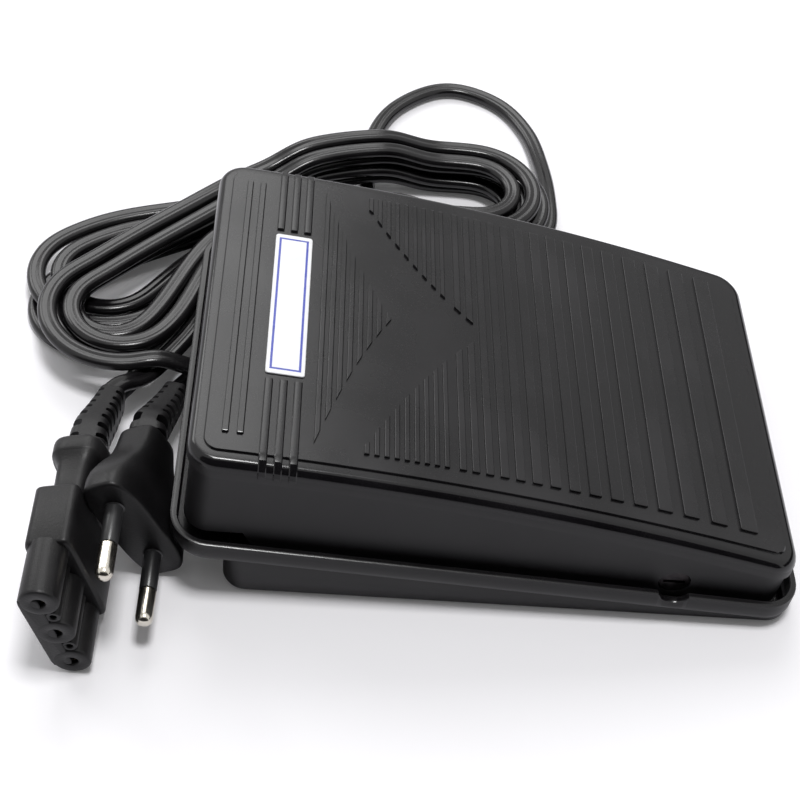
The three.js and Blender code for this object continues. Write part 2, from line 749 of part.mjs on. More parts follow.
place(pedal, "lead_gland", glandGeometry(), rubber);

const clampTop = exitZ + sleeveRadius;
const clampBarTop = clampTop + clampBarHeight;
const clampArch = sleeveRadius + clearance;
const clampArchTop = clampTop + clearance;
const clampReach = clampSpan / 2 + clampEnd;
const clampBar = shape(
  box(clampX - clampLength / 2, clampX + clampLength / 2, exitY - clampReach, exitY + clampReach,
    clampSeat, clampBarTop),
  [],
  [
    box(clampX - clampLength, clampX + clampLength, exitY - clampArch, exitY + clampArch, clampSeat - 1, clampArchTop),
    ...clampScrews.map((y) => post(clampX, y, clampScrew / 2 + 0.2, clampSeat - 1, clampBarTop + 1, 12)),
  ],
);
place(pedal, "lead_clamp", clampBar, softPlastic);
clampScrews.forEach((y, i) => {
  const shank = post(clampX, y, clampScrew / 2, panFloor + 1, clampBarTop + 0.4, 12);
  const head = post(clampX, y, 2.3, clampBarTop, clampBarTop + 1.6, 12);
  place(pedal, `clamp_screw_${i + 1}`, shape(head, [shank]), steel);
});

// ---- connector to the machine ----
// Its own frame: the mating face is the plane y = 0, the body runs back along +Y, and the three
// contacts stand in line along Z. It lies on its narrow edge, leaning over a little.
const connector = new THREE.Group();
connector.position.set(...connectorPlace);
connector.rotation.y = connectorLean;
pedal.add(connector);
const contacts = [-1, 0, 1].map((i) => i * contactPitch);
function connectorBody() {
  const barrels = contacts.map((z) => axle(0, z, barrelRadius, 0, barrelLength + 1, 20));
  const web = box(-barrelRadius + 0.2, 0, 0, barrelLength + 1, -contactPitch, contactPitch);
  const block = roundedBlock(bodyWidth, bodyHeight, 1.2, barrelLength, bodyEnd).translate(0.4, 0, 0.4);
  const neck = roundedBlock(neckWidth, neckHeight, 2, bodyEnd - 1, neckEnd);
  const collar = roundedBlock(collarWidth, collarHeight, 4, neckEnd, collarEnd);
  const bores = contacts.map((z) => axle(0, z, contactBore / 2, -1, contactDepth, 12));
  const keys = [-0.5, 0.5].map((i) => axle(1.5, i * contactPitch, 0.9, -1, 4, 10));
  return shape(web, [...barrels, block, neck, collar], [...bores, ...keys]);
}
place(connector, "machine_connector", connectorBody(), plastic);
contacts.forEach((z, i) => {
  const tube = axle(0, z, contactBore / 2 - 0.15, 1.2, contactDepth - 0.5, 12);
  const sleeve = shape(tube, [], [axle(0, z, 0.9, 0, contactDepth - 1.5, 12)]);
  place(connector, `connector_contact_${i + 1}`, sleeve, brass);
});

// Ribbed strain reliefs: a tapering block with slots from both flanks. The spine is in the pedal's
// frame, because the rubber bends down to the floor.
function slottedRelief(points, start, end, slots) {
  const curve = new THREE.CatmullRomCurve3(points.map((p) => new THREE.Vector3(...p)), false, "centripetal");
  const size = (along) => [
    THREE.MathUtils.lerp(start[0], end[0], along), THREE.MathUtils.lerp(start[1], end[1], along),
  ];
  const body = taperTube(curve, 8, 12, size);
  const cuts = [];
  for (let i = 0; i < slots; i++) {
    const along = (i + 0.7) / (slots + 0.6);
    const point = curve.getPoint(along);
    const tangent = curve.getTangent(along);
    const [wide, high] = size(along);
    for (const side of [-1, 1]) {
      const notch = new THREE.BoxGeometry(wide * 0.3, 1.1, high * 2);
      notch.translate(side * wide * 0.5, 0, 0);
      notch.rotateZ(Math.atan2(-tangent.x, tangent.y));
      notch.translate(point.x, point.y, point.z);
      cuts.push(notch);
    }
  }
  return shape(body, [], cuts);
}
const connectorReliefPoints = [
  [connectorPlace[0], connectorPlace[1] + collarEnd + clearance, connectorPlace[2]],
  [connectorPlace[0], connectorPlace[1] + collarEnd + 6, connectorPlace[2]],
  [-94, -12, 13.6],
  connectorReliefEnd,
];
place(pedal, "connector_relief", slottedRelief(connectorReliefPoints, [9.4, 13], [6.4, 8.8], 5), rubber);

// ---- mains plug ----
// Its own frame: the pins leave the plane y = 0 towards -Y, one above the other.
const plug = new THREE.Group();
plug.position.set(...plugPlace);
plug.rotation.y = plugLean;
pedal.add(plug);
function plugBody() {
  const ring = (y, width, height) => {
    const points = [];
    const sides = 20;
    for (let i = 0; i < sides; i++) {
      const angle = 2 * Math.PI * (i + 0.5) / sides;
      const sx = Math.sign(Math.cos(angle)) * Math.abs(Math.cos(angle)) ** 0.75;
      const sz = Math.sign(Math.sin(angle)) * Math.abs(Math.sin(angle)) ** 0.9;
      points.push(new THREE.Vector3(sx * width / 2, y, sz * height / 2));
    }
    return points;
  };
  const body = loft([
    ring(0, plugWidth, plugHeight), ring(5, plugWidth, plugHeight - 1),
    ring(11, plugWidth - 0.6, plugHeight - 8), ring(18, plugWidth - 1.2, 17), ring(plugLength, plugWidth - 2, 12.5),
  ]);
  const holes = [-0.5, 0.5].map((i) => axle(0, i * pinPitch, pinDiameter / 2 + 0.15, -1, 7, 16));
  return shape(body, [], holes);
}
place(plug, "mains_plug", plugBody(), softPlastic);
[-0.5, 0.5].forEach((i, n) => {
  const z = i * pinPitch;
  const bare = pinLength - pinSleeve;
  const core = pinDiameter / 2 - 0.45;
  const tip = axle(0, z, pinDiameter / 2, -pinLength + 0.8, -pinSleeve - 0.1, 16);
  const ball = new THREE.SphereGeometry(pinDiameter / 2 - 0.02, 16, 8);
  const end = ball.scale(1, 0.6, 1).translate(0, -pinLength + 1.2, z);
  const root = axle(0, z, core, -pinLength + bare / 2, 6, 16);
  place(plug, `plug_pin_${n + 1}`, shape(tip, [end, root]), nickel);
  const tube = axle(0, z, pinDiameter / 2, -pinSleeve, -0.2, 16);
  const sleeve = shape(tube, [], [axle(0, z, core + 0.12, -pinSleeve - 1, 1, 16)]);
  place(plug, `pin_sleeve_${n + 1}`, sleeve, plastic);
});
const plugReliefPoints = [
  [plugPlace[0], plugPlace[1] + plugLength + clearance, plugPlace[2]],
  [plugPlace[0], plugPlace[1] + plugLength + 3, plugPlace[2]],
  [-80.9, -12, 14.2],
  [-79, -3, 10.2],
  plugReliefEnd,
];
place(pedal, "plug_relief", slottedRelief(plugReliefPoints, [9, 10.6], [5.8, 6.6], 5), rubber);

// ---- leads ----
// Flat two-core leads. Their slack lies in one long hank: the mains lead in the two lower layers and
// the pedal's lead on top of it. Both forms follow one bent middle line behind the toe, and the whole
// hank is lifted a little where the plug's lead passes under it.
const hankSpinePoints = [[-101, 38], [-90, 51.5], [-67.5, 86], [0.5, 86]];
const hankSpine = new THREE.CubicBezierCurve(...hankSpinePoints.map(([x, y]) => new THREE.Vector2(x, y)));
const hankEndRadius = 22;
const hankPitch = 6;
const hankLayerStep = 3.6;
const hankFloor = 0.25;
const hankWaist = 8.5;
const hankWaistPlace = -17;
const hankWaistSpread = 30;
const hankLift = 4;
const hankLiftFrom = 14;
const hankLiftTo = 34;
const hankLiftRamp = 14;
// how far each layer's toe end lies off the middle line, so that the layers don't cover each other
const hankShifts = [[0, 0], [1, 10], [5, -6.4], [7.5, -9.6]];
const stepsPerLoop = 24;
const hankRun = hankSpine.getLength();

const smooth = (value) => THREE.MathUtils.smoothstep(value, 0, 1);

// A place beside the middle line: u along it from its middle, v away from the pedal.
function besideSpine(u, v) {
  const along = THREE.MathUtils.clamp(u / hankRun + 0.5, 0, 1);
  const middle = hankSpine.getPointAt(along);
  const tangent = hankSpine.getTangentAt(along);
  const past = u - (along - 0.5) * hankRun;
  return new THREE.Vector2(
    middle.x + tangent.x * past - tangent.y * v, middle.y + tangent.y * past + tangent.x * v,
  );
}

function hankShift(layer) {
  const lower = Math.min(Math.floor(layer), hankShifts.length - 2);
  return [0, 1].map((k) => THREE.MathUtils.lerp(hankShifts[lower][k], hankShifts[lower + 1][k], layer - lower));
}

// The middle of the lead after some number of turns, starting in the middle of the near run. It spirals
// in for two turns, climbs a layer along the near run, and spirals out again.
function hankPoint(turns, firstLayer) {
  const part = turns - Math.floor(turns);
  const radius = hankEndRadius - hankPitch * (turns < 2 ? turns : 4 - turns);
  const half = hankRun / 2;
  let u;
  let v;
  if (part < 1 / 6) {
    u = half * part * 6;
    v = -radius;
  } else if (part < 1 / 3) {
    const angle = Math.PI * ((part - 1 / 6) * 6 - 0.5);
    u = half + radius * Math.cos(angle);
    v = radius * Math.sin(angle);
  } else if (part < 2 / 3) {
    u = half - hankRun * (part - 1 / 3) * 3;
    v = radius;
  } else if (part < 5 / 6) {
    const angle = Math.PI * ((part - 2 / 3) * 6 + 0.5);
    u = -half + radius * Math.cos(angle);
    v = radius * Math.sin(angle);
  } else {
    u = -half * (1 - (part - 5 / 6) * 6);
    v = -radius;
  }
  const layer = firstLayer + smooth((turns - 2 + 1 / 6) * 3);
  const drawIn = hankWaist * Math.exp(-(((u - hankWaistPlace) / hankWaistSpread) ** 2));
  v -= Math.sign(v) * Math.min(Math.abs(v), drawIn);
  const plan = besideSpine(u, v);
  const shift = hankShift(layer).map((far) => far * smooth(-u / half));
  const lift = hankLift * smooth((u - hankLiftFrom + hankLiftRamp) / hankLiftRamp)
    * smooth((hankLiftTo + hankLiftRamp - u) / hankLiftRamp);
  const z = hankFloor + leadThickness / 2 + hankLayerStep * layer + lift;
  return new THREE.Vector3(plan.x + shift[0], plan.y + shift[1], z);
}

const hankStart = -1 / 6;       // the toe end of the near run
function hankPath(turns, firstLayer, stepsPerTurn = stepsPerLoop) {
  const points = [];
  const steps = Math.round((turns - hankStart) * stepsPerTurn);
  for (let i = 0; i <= steps; i++) {
    points.push(hankPoint(THREE.MathUtils.lerp(hankStart, turns, i / steps), firstLayer));
  }
  return points;
}

// The flat section of a lead lying at a point of its path, as six corners.
function leadSection(points, i) {
  const before = points[Math.max(i - 1, 0)];
  const after = points[Math.min(i + 1, points.length - 1)];
  const across = new THREE.Vector3(after.y - before.y, before.x - after.x, 0).normalize();
  const edge = leadWidth / 2;
  const flat = edge - leadThickness * 0.36;
  const high = leadThickness / 2;
  const corners = [[edge, 0], [flat, high], [-flat, high], [-edge, 0], [-flat, -high], [flat, -high]];
  return corners.map(([side, z]) => {
    const corner = points[i].clone().addScaledVector(across, side);
    corner.z += z;
    return corner;
  });
}

function leastGap(points) {
  const apart = 8 * 4;
  const sections = points.map((_, i) => leadSection(points, i));
  let least = Infinity;
  for (let i = 0; i < points.length; i++) {
    for (let j = i + apart; j < points.length; j++) {
      if (points[i].distanceTo(points[j]) > 9) continue;
      for (const a of sections[i]) for (const b of sections[j]) least = Math.min(least, a.distanceTo(b));
    }
  }
  return least;
}

const hanks = [["mains_lead_hank", 4.25, 0], ["pedal_lead_hank", 3.8, 2]];
for (const [name, turns, firstLayer] of hanks) {
  const points = hankPath(turns, firstLayer);
  place(pedal, name, loft(points.map((_, i) => leadSection(points, i))), rubber);
  const gap = leastGap(hankPath(turns, firstLayer, stepsPerLoop * 4));
  console.log(`${name}: least gap to itself ${gap.toFixed(2)} mm`);
}

// The free stretches, as round tubes of the leads' mean size.
function leadTubeGeometry(points, steps) {
  const curve = new THREE.CatmullRomCurve3(points.map((p) => new THREE.Vector3(...p)), false, "centripetal");
  const section = new THREE.Shape();
  const sides = 8;
  for (let i = 0; i < sides; i++) {
    const angle = 2 * Math.PI * (i + 0.5) / sides;
    const corner = [leadTube / 2 * Math.cos(angle), leadTube / 2 * Math.sin(angle)];
    if (i === 0) section.moveTo(...corner);
    else section.lineTo(...corner);
  }
  return new THREE.ExtrudeGeometry(section, { steps, extrudePath: curve, bevelEnabled: false });
}
const exitPath = [
  [-72.9, 10.5, 9.5], [-76, 10.5, 9.9], [-80, 10.5, 12], [-83.8, 9.6, 13.7], [-87.4, 8.7, 12.65],
];
const pedalLinkPath = [
  [-92.5, -2, 13.7], [-91, 1.2, 12.6], [-87.6, 4.8, 9.6], [-83.4, 10.6, 8.9], [-79.4, 17.4, 8.95],
];
const mainsLinkPath = [
  [-92.5, -3, 9.6], [-92.3, 1.5, 7.8], [-91.4, 6.5, 4], [-90, 11.5, 1.9], [-87.4, 18, 1.85],
  [-84.36, 23.87, 1.85],
];
const mainsFarPath = [
  [-77.8, 3.4, 8.2], [-77.3, 6.5, 6.3], [-76, 11, 3.5], [-73.6, 16, 2.3], [-70, 24, 2.1], [-66, 33, 2.1],
  [-64.7, 40, 2.1], [-64.2, 46.5, 2.1], [-60.9, 51.8, 2.1], [-54, 53, 2.1], [-42, 53, 2.1], [-34, 56, 2.1],
  [-30.5, 64, 2.1], [-30, 80, 2.1], [-30.5, 98, 2.1], [-29.5, 116, 2.2], [-22, 135, 2.2], [-5, 147.5, 2.2],
  [11, 142, 2.2], [20, 128, 2.4], [23.4, 110, 3.4], [23.9, 98, 5.2], [24, 86.8, 5.35],
];
const freeStretches = [
  ["pedal_lead_exit", exitPath, 4], ["pedal_lead_link", pedalLinkPath, 4],
  ["mains_lead_link", mainsLinkPath, 5], ["mains_lead_far", mainsFarPath, 44],
];
for (const [name, points, steps] of freeStretches) {
  place(pedal, name, leadTubeGeometry(points, steps), rubber);
}

export default pedal;
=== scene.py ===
"""Foot pedal of a sewing machine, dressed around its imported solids.

A glossy tread cover hinged on a base tray, a three-way connector for the machine, a two-pin mains
plug, and two flat leads whose slack lies in one hank behind the toe. Shapes are worked out in
millimetres (+Z up, toe to -X, floor at z = 0) and turned to metres where a mesh is made.
"""

import bmesh
import bpy
import numpy as np
from mathutils import Matrix, Vector


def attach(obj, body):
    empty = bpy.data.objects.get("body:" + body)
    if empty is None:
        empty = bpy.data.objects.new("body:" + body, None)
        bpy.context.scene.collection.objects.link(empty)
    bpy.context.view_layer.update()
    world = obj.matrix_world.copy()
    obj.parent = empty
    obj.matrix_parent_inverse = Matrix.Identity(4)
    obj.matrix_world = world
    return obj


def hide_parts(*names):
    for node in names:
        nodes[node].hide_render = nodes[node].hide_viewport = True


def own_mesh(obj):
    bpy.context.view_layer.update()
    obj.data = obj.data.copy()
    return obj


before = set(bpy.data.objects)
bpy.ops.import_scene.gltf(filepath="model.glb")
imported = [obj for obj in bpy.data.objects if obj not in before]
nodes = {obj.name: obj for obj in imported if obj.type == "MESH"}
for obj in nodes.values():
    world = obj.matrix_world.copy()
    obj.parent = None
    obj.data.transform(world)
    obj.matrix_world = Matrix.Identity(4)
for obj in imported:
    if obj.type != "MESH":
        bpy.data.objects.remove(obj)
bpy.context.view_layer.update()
MM = 0.001


# ---- Camera ----
# A 65 mm lens looking down on the pedal from the near side of the toe, rolled a little.
def in_scene(name, data):
    """An object of this name, put into the scene at the origin."""
    thing = bpy.data.objects.new(name, data)
    bpy.context.scene.collection.objects.link(thing)
    return thing


camera_azimuth, camera_elevation, camera_roll = np.radians([-6.92, 48.16, 9.23])
camera_place = (-50.9, -240.4, 285.2)
ahead = np.array([
    -np.sin(camera_azimuth) * np.cos(camera_elevation),
    np.cos(camera_azimuth) * np.cos(camera_elevation),
    -np.sin(camera_elevation),
])
level_right = np.array([np.cos(camera_azimuth), np.sin(camera_azimuth), 0])
level_up = np.cross(level_right, ahead)
right = np.cos(camera_roll) * level_right + np.sin(camera_roll) * level_up
up = np.cos(camera_roll) * level_up - np.sin(camera_roll) * level_right
turn = Matrix([[right[i], up[i], -ahead[i], camera_place[i] * MM] for i in range(3)] + [[0, 0, 0, 1]])
camera = in_scene("camera", bpy.data.cameras.new("camera"))
camera.data.lens = 65.22
camera.data.sensor_width = 36
camera.data.clip_start = 0.01
camera.matrix_world = turn
bpy.context.scene.camera = camera


# ---- Flat leads ----
# Two twin-core flat leads, 5 mm wide and 3 mm thick, with a shallow groove between their cores and a
# sheath of soft PVC. The slack of both is wound in one long hank that lies on the floor behind the toe,
# the mains lead in the two lower layers and the pedal's lead on top of it.
def spline(points, step=1.5):
    """Centripetal Catmull-Rom: through every point, leaving each one along the chord of its neighbours."""
    p = np.asarray(points, float)
    q = np.vstack([2 * p[0] - p[1], p, 2 * p[-1] - p[-2]])
    chords = np.linalg.norm(np.diff(q, axis=0), axis=1)
    knots = np.concatenate([[0], np.cumsum(np.sqrt(chords))])
    count = int(chords[1:-1].sum() / step * 4) + 2
    t = np.linspace(knots[1], knots[-2], count)
    i = np.clip(np.searchsorted(knots, t, "right") - 1, 1, len(p) - 1)

    def mix(a, b, j, k):
        share = ((t - knots[j]) / (knots[k] - knots[j]))[:, None]
        return a * (1 - share) + b * share

    before, here, after = [mix(q[i + k], q[i + k + 1], i + k, i + k + 1) for k in (-1, 0, 1)]
    return mix(mix(before, here, i - 1, i + 1), mix(here, after, i, i + 2), i, i + 1)


def evenly(points, step):
    """The same line with its points a constant distance apart."""
    along = np.concatenate([[0], np.cumsum(np.linalg.norm(np.diff(points, axis=0), axis=1))])
    places = np.linspace(0, along[-1], int(along[-1] / step) + 1)
    return np.stack([np.interp(places, along, points[:, k]) for k in range(3)], axis=1)


def relaxed(points, passes):
    """Each inner point moved half way to the middle of its neighbours, some times over."""
    line = points.copy()
    for _ in range(passes):
        line[1:-1] = (line[1:-1] + (line[:-2] + line[2:]) / 2) / 2
    return line


def ramp(value):
    """0 to 1 with level ends: 3s^2 - 2s^3."""
    s = np.clip(value, 0, 1)
    return s * s * (3 - 2 * s)


spine_ends = np.array([[-101, 38], [-90, 51.5], [-67.5, 86], [0.5, 86]], float)
spine_t = np.linspace(0, 1, 801)[:, None]
spine_line = (
    (1 - spine_t) ** 3 * spine_ends[0] + 3 * (1 - spine_t) ** 2 * spine_t * spine_ends[1]
    + 3 * (1 - spine_t) * spine_t ** 2 * spine_ends[2] + spine_t ** 3 * spine_ends[3]
)
spine_along = np.concatenate([[0], np.cumsum(np.linalg.norm(np.diff(spine_line, axis=0), axis=1))])
run = spine_along[-1]
end_radius, hank_pitch, layer_step = 22, 6, 3.6
lead_thickness, hank_floor = 3, 0.25
waist_depth, waist_place, waist_spread = 8.5, -17, 30
bridge_rise, bridge_length, bridge_ease = 4, 48, 14
layer_shift_x, layer_shift_y = [0, 1, 5, 7.5], [0, 10, -6.4, -9.6]


def hank(turns, first_layer):
    """A winding round a bent middle line: straight runs beside the line, half circles at its ends. Each
    turn is half a run, a half circle, a run, a half circle and half a run, a sixth or a third of the turn
    each. It spirals in for two turns, climbs one layer, and spirals out again. The runs draw together at
    the waist, the winding bridges the plug's lead that passes under it, and its layers lie a little apart
    at the toe end."""
    n = np.linspace(-1 / 6, turns, int((turns + 1 / 6) * 144) + 1)
    part = n - np.floor(n)
    radius = end_radius - hank_pitch * np.where(n < 2, n, 4 - n)
    half = run / 2
    right_turn = np.pi * ((part - 1 / 6) * 6 - 0.5)
    left_turn = np.pi * ((part - 2 / 3) * 6 + 0.5)
    stretch = [part < 1 / 6, part < 1 / 3, part < 2 / 3, part < 5 / 6]
    u = np.select(stretch, [
        half * part * 6, half + radius * np.cos(right_turn), half - run * (part - 1 / 3) * 3,
        -half + radius * np.cos(left_turn),
    ], -half * (1 - (part - 5 / 6) * 6))
    v = np.select(
        stretch, [-radius, radius * np.sin(right_turn), radius, radius * np.sin(left_turn)], -radius,
    )
    layer = first_layer + ramp((n - 2 + 1 / 6) * 3)
    pinch = waist_depth * np.exp(-(((u - waist_place) / waist_spread) ** 2))
    v = v - np.sign(v) * np.minimum(np.abs(v), pinch)
    share = np.clip(u / run + 0.5, 0, 1)
    middle = np.stack([np.interp(share * run, spine_along, spine_line[:, k]) for k in range(2)], axis=1)
    slopes = np.gradient(spine_line, spine_along, axis=0)
    tangent = np.stack([np.interp(share * run, spine_along, slopes[:, k]) for k in range(2)], axis=1)
    tangent /= np.linalg.norm(tangent, axis=1)[:, None]
    past = (u - (share - 0.5) * run)[:, None]
    plan = middle + tangent * past + np.stack([-tangent[:, 1], tangent[:, 0]], axis=1) * v[:, None]
    shift = np.stack([np.interp(layer, range(4), values) for values in (layer_shift_x, layer_shift_y)])
    shift *= ramp(-u / half)
    lift = bridge_rise * ramp(u / bridge_ease) * ramp((bridge_length - u) / bridge_ease)
    z = hank_floor + lead_thickness / 2 + layer_step * layer + lift
    return np.stack([plan[:, 0] + shift[0], plan[:, 1] + shift[1], z], axis=1)


def closed(grid):
    """A skin over rings: grid[level, place on the ring, xyz]. The ends are fans round their middles."""
    levels, size = grid.shape[:2]
    verts = np.vstack([grid.reshape(-1, 3), grid[0].mean(0), grid[-1].mean(0)])
    index = np.arange(levels * size).reshape(levels, size)
    faces = cells(index, wrap=True).reshape(-1, 4).tolist()
    for ring, middle in [(index[0], levels * size), (index[-1], levels * size + 1)]:
        faces += np.stack([ring, np.roll(ring, -1), np.full(size, middle)], axis=1).tolist()
    return verts, faces


def cells(index, wrap=False):
    """Quads between neighbouring rows and columns of a table of vertex numbers."""
    if wrap:
        index = np.concatenate([index, index[:, :1]], axis=1)
    return np.stack([index[:-1, :-1], index[:-1, 1:], index[1:, 1:], index[1:, :-1]], axis=-1)


def corner_mask(mesh):
    """How sharply the skin turns outwards at each vertex: its largest convex angle over 40 degrees, at
    most 1."""
    def read(items, name, kind, width=1):
        values = np.zeros(len(items) * width, kind)
        items.foreach_get(name, values)
        return values.reshape(-1, width) if width > 1 else values

    edge = read(mesh.loops, "edge_index", np.int32)
    owner = np.repeat(np.arange(len(mesh.polygons)), read(mesh.polygons, "loop_total", np.int32))
    normal = read(mesh.polygons, "normal", np.float32, 3)
    middle = read(mesh.polygons, "center", np.float32, 3)
    ends = read(mesh.edges, "vertices", np.int32, 2)
    order = np.argsort(edge, kind="stable")
    edge, owner = edge[order], owner[order]
    pair = np.flatnonzero(edge[1:] == edge[:-1])
    a, b = owner[pair], owner[pair + 1]
    angle = np.arccos(np.clip(np.einsum("ij,ij->i", normal[a], normal[b]), -1, 1))
    convex = np.einsum("ij,ij->i", middle[b] - middle[a], normal[a]) < 0
    sharp = np.where(convex, np.clip(angle / np.radians(40), 0, 1), 0)
    mask = np.zeros(len(mesh.vertices), np.float32)
    for end in range(2):
        np.maximum.at(mask, ends[edge[pair], end], sharp)
    return mask


def piece(name, parts, look, body, smooth=34):
    """One mesh made of closed skins in millimetres. Doubled vertices are merged, faces turned outwards,
    and the shading is smooth but for edges sharper than smooth."""
    verts, faces, start = [], [], 0
    for part_verts, part_faces in parts:
        verts.append(part_verts)
        faces += [[i + start for i in face] for face in part_faces]
        start += len(part_verts)
    mesh = bpy.data.meshes.new(name)
    mesh.from_pydata((np.vstack(verts) * MM).tolist(), [], faces)
    skin = bmesh.new()
    skin.from_mesh(mesh)
    bmesh.ops.remove_doubles(skin, verts=skin.verts, dist=0.002 * MM)
    bmesh.ops.recalc_face_normals(skin, faces=skin.faces)
    skin.to_mesh(mesh)
    skin.free()
    mesh.shade_smooth()
    mesh.set_sharp_from_angle(angle=np.radians(smooth))
    mesh.attributes.new("edge", "FLOAT", "POINT").data.foreach_set("value", corner_mask(mesh))
    mesh.materials.append(look)
    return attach(in_scene(name, mesh), body)


def add(tree, kind, sockets=(), **settings):
    """A shader node with its settings, and its sockets given a value or joined to another's output."""
    node = tree.nodes.new(kind)
    for key, value in settings.items():
        setattr(node, key, value)
    for key, value in dict(sockets).items():
        if isinstance(value, bpy.types.NodeSocket):
            tree.links.new(value, node.inputs[key])
        else:
            node.inputs[key].default_value = value
    return node


def maths(tree, operation, *values, clamp=False):
    """The result of a sum on values and sockets."""
    return add(tree, "ShaderNodeMath", enumerate(values), operation=operation, use_clamp=clamp).outputs[0]


def ranged(tree, value, low, high, to_low=0.0, to_high=1.0):
    """A value between low and high, stretched to another range and held inside it."""
    return add(tree, "ShaderNodeMapRange", {0: value, 1: low, 2: high, 3: to_low, 4: to_high}).outputs[0]


def mixed(tree, share, first, second):
    """A colour a share of the way from the first to the second."""
    first, second = [c if isinstance(c, bpy.types.NodeSocket) else (*c, 1) for c in (first, second)]
    return add(tree, "ShaderNodeMix", {0: share, 6: first, 7: second}, data_type="RGBA").outputs[2]


def noise(tree, scale, detail):
    """Noise fixed to the piece, of a scale per metre."""
    place = add(tree, "ShaderNodeTexCoord").outputs["Object"]
    return add(tree, "ShaderNodeTexNoise", {"Vector": place, "Scale": scale, "Detail": detail}).outputs[0]


def new_material(name):
    """A material with its nodes, its tree, and its Principled shader."""
    material = bpy.data.materials.new(name)
    material.use_nodes = True
    return material, material.node_tree, material.node_tree.nodes["Principled BSDF"]


def surface_group():
    """What every moulded or machined surface shows: a fine grain, slow changes of tone, rubbed edges and
    a little dust on what faces up. Two more masks tell upright walls, which keep the mould's texture, and
    rounded edges, which hands polish. Puts out masks and a height only."""
    tree = bpy.data.node_groups.new("surface_detail", "ShaderNodeTree")
    for name, value in [("Grain", 3000), ("Patches", 60), ("Rub", 0.5), ("Dust", 0.3)]:
        tree.interface.new_socket(name, in_out="INPUT", socket_type="NodeSocketFloat").default_value = value
    for name in ["Height", "Tone", "Rubbed", "Dusty", "Upright", "Rounded"]:
        tree.interface.new_socket(name, in_out="OUTPUT", socket_type="NodeSocketFloat")
    given = add(tree, "NodeGroupInput").outputs
    fine, slow = noise(tree, given["Grain"], 3), noise(tree, given["Patches"], 4)
    specks = noise(tree, 5200, 2)
    edge = add(tree, "ShaderNodeAttribute", attribute_name="edge", attribute_type="GEOMETRY").outputs["Fac"]
    worn = maths(tree, "MULTIPLY", edge, ranged(tree, slow, 0.42, 0.62, 0.2, 1))
    normal = add(tree, "ShaderNodeNewGeometry").outputs["Normal"]
    facing = add(tree, "ShaderNodeSeparateXYZ", {0: normal}).outputs["Z"]
    settled = maths(tree, "MULTIPLY", ranged(tree, facing, 0.3, 1), ranged(tree, specks, 0.62, 0.8))
    steep = maths(tree, "ABSOLUTE", facing)
    upright = ranged(tree, steep, 0.32, 0.1)
    out = add(tree, "NodeGroupOutput")
    for name, socket in [
        ("Height", fine), ("Tone", slow), ("Rubbed", maths(tree, "MULTIPLY", worn, given["Rub"])),
        ("Dusty", maths(tree, "MULTIPLY", settled, given["Dust"])), ("Upright", upright),
        ("Rounded", maths(tree, "SUBTRACT", ranged(tree, steep, 0.965, 0.92), upright, clamp=True)),
    ]:
        tree.links.new(socket, out.inputs[name])
    return tree


surface_detail = surface_group()


def look(name, dark, light, rough, worn=None, metal=0.0, grain=3000, patches=60, rub=0.4, dust=0.2,
         bump=0.02, gloss=0.5, wall=0.0, polish=0.0):
    """A finish whose colour drifts from dark to light, is paler where rubbed and dusty, and shines less
    there. Upright walls are duller by wall, and rounded edges smoother by polish."""
    material, tree, shader = new_material(name)
    detail = add(tree, "ShaderNodeGroup", node_tree=surface_detail)
    for key, value in [("Grain", grain), ("Patches", patches), ("Rub", rub), ("Dust", dust)]:
        detail.inputs[key].default_value = value
    masks = detail.outputs
    base = mixed(tree, ranged(tree, masks["Tone"], 0.35, 0.65), dark, light)
    paler = mixed(tree, masks["Rubbed"], base, worn or tuple(min(1, 2.2 * c + 0.03) for c in light))
    tree.links.new(mixed(tree, masks["Dusty"], paler, (0.35, 0.33, 0.3)), shader.inputs["Base Color"])
    duller = maths(tree, "MULTIPLY_ADD", masks["Tone"], 0.18, rough - 0.09)
    for mask, share in [("Dusty", 0.5), ("Upright", wall), ("Rounded", -polish)]:
        duller = maths(tree, "MULTIPLY_ADD", masks[mask], share, duller, clamp=True)
    tree.links.new(duller, shader.inputs["Roughness"])
    relief = add(tree, "ShaderNodeBump", {"Height": masks["Height"], "Strength": bump, "Distance": 0.0002})
    tree.links.new(relief.outputs[0], shader.inputs["Normal"])
    shader.inputs["Metallic"].default_value = metal
    shader.inputs["Specular IOR Level"].default_value = gloss
    return material


sheath = look("lead_sheath", (0.004, 0.0036, 0.0042), (0.007, 0.0064, 0.0072), 0.22, bump=0.08, grain=1500,
              patches=90, rub=0.1, dust=0.04, gloss=0.45)

core_offset, core_radius = 1.0, 1.5
lead_step, lead_passes = 1.6, 6
around = 2 * np.pi * (np.arange(20) + 0.5) / 20
core_side = core_offset * np.abs(np.cos(around))
reach = core_side + np.sqrt(core_radius ** 2 - (core_offset * np.sin(around)) ** 2)
lead_section = np.stack([reach * np.cos(around), reach * np.sin(around)], axis=1)


def carried(path, section):
    """The section carried along the path, kept level: its first axis lies flat, across the path."""
    tangent = np.gradient(path, axis=0)
    tangent /= np.linalg.norm(tangent, axis=1)[:, None]
    across = np.stack([tangent[:, 1], -tangent[:, 0], np.zeros(len(path))], axis=1)
    across /= np.linalg.norm(across, axis=1)[:, None]
    rise = np.cross(across, tangent)
    sideways, upwards = section[..., 0][..., None], section[..., 1][..., None]
    return path[:, None] + across[:, None] * sideways + rise[:, None] * upwards


def lead_line(*stretches):
    """One route from several stretches laid end to end, evened out and relaxed into smooth bends."""
    return relaxed(evenly(np.vstack(stretches), lead_step), lead_passes)


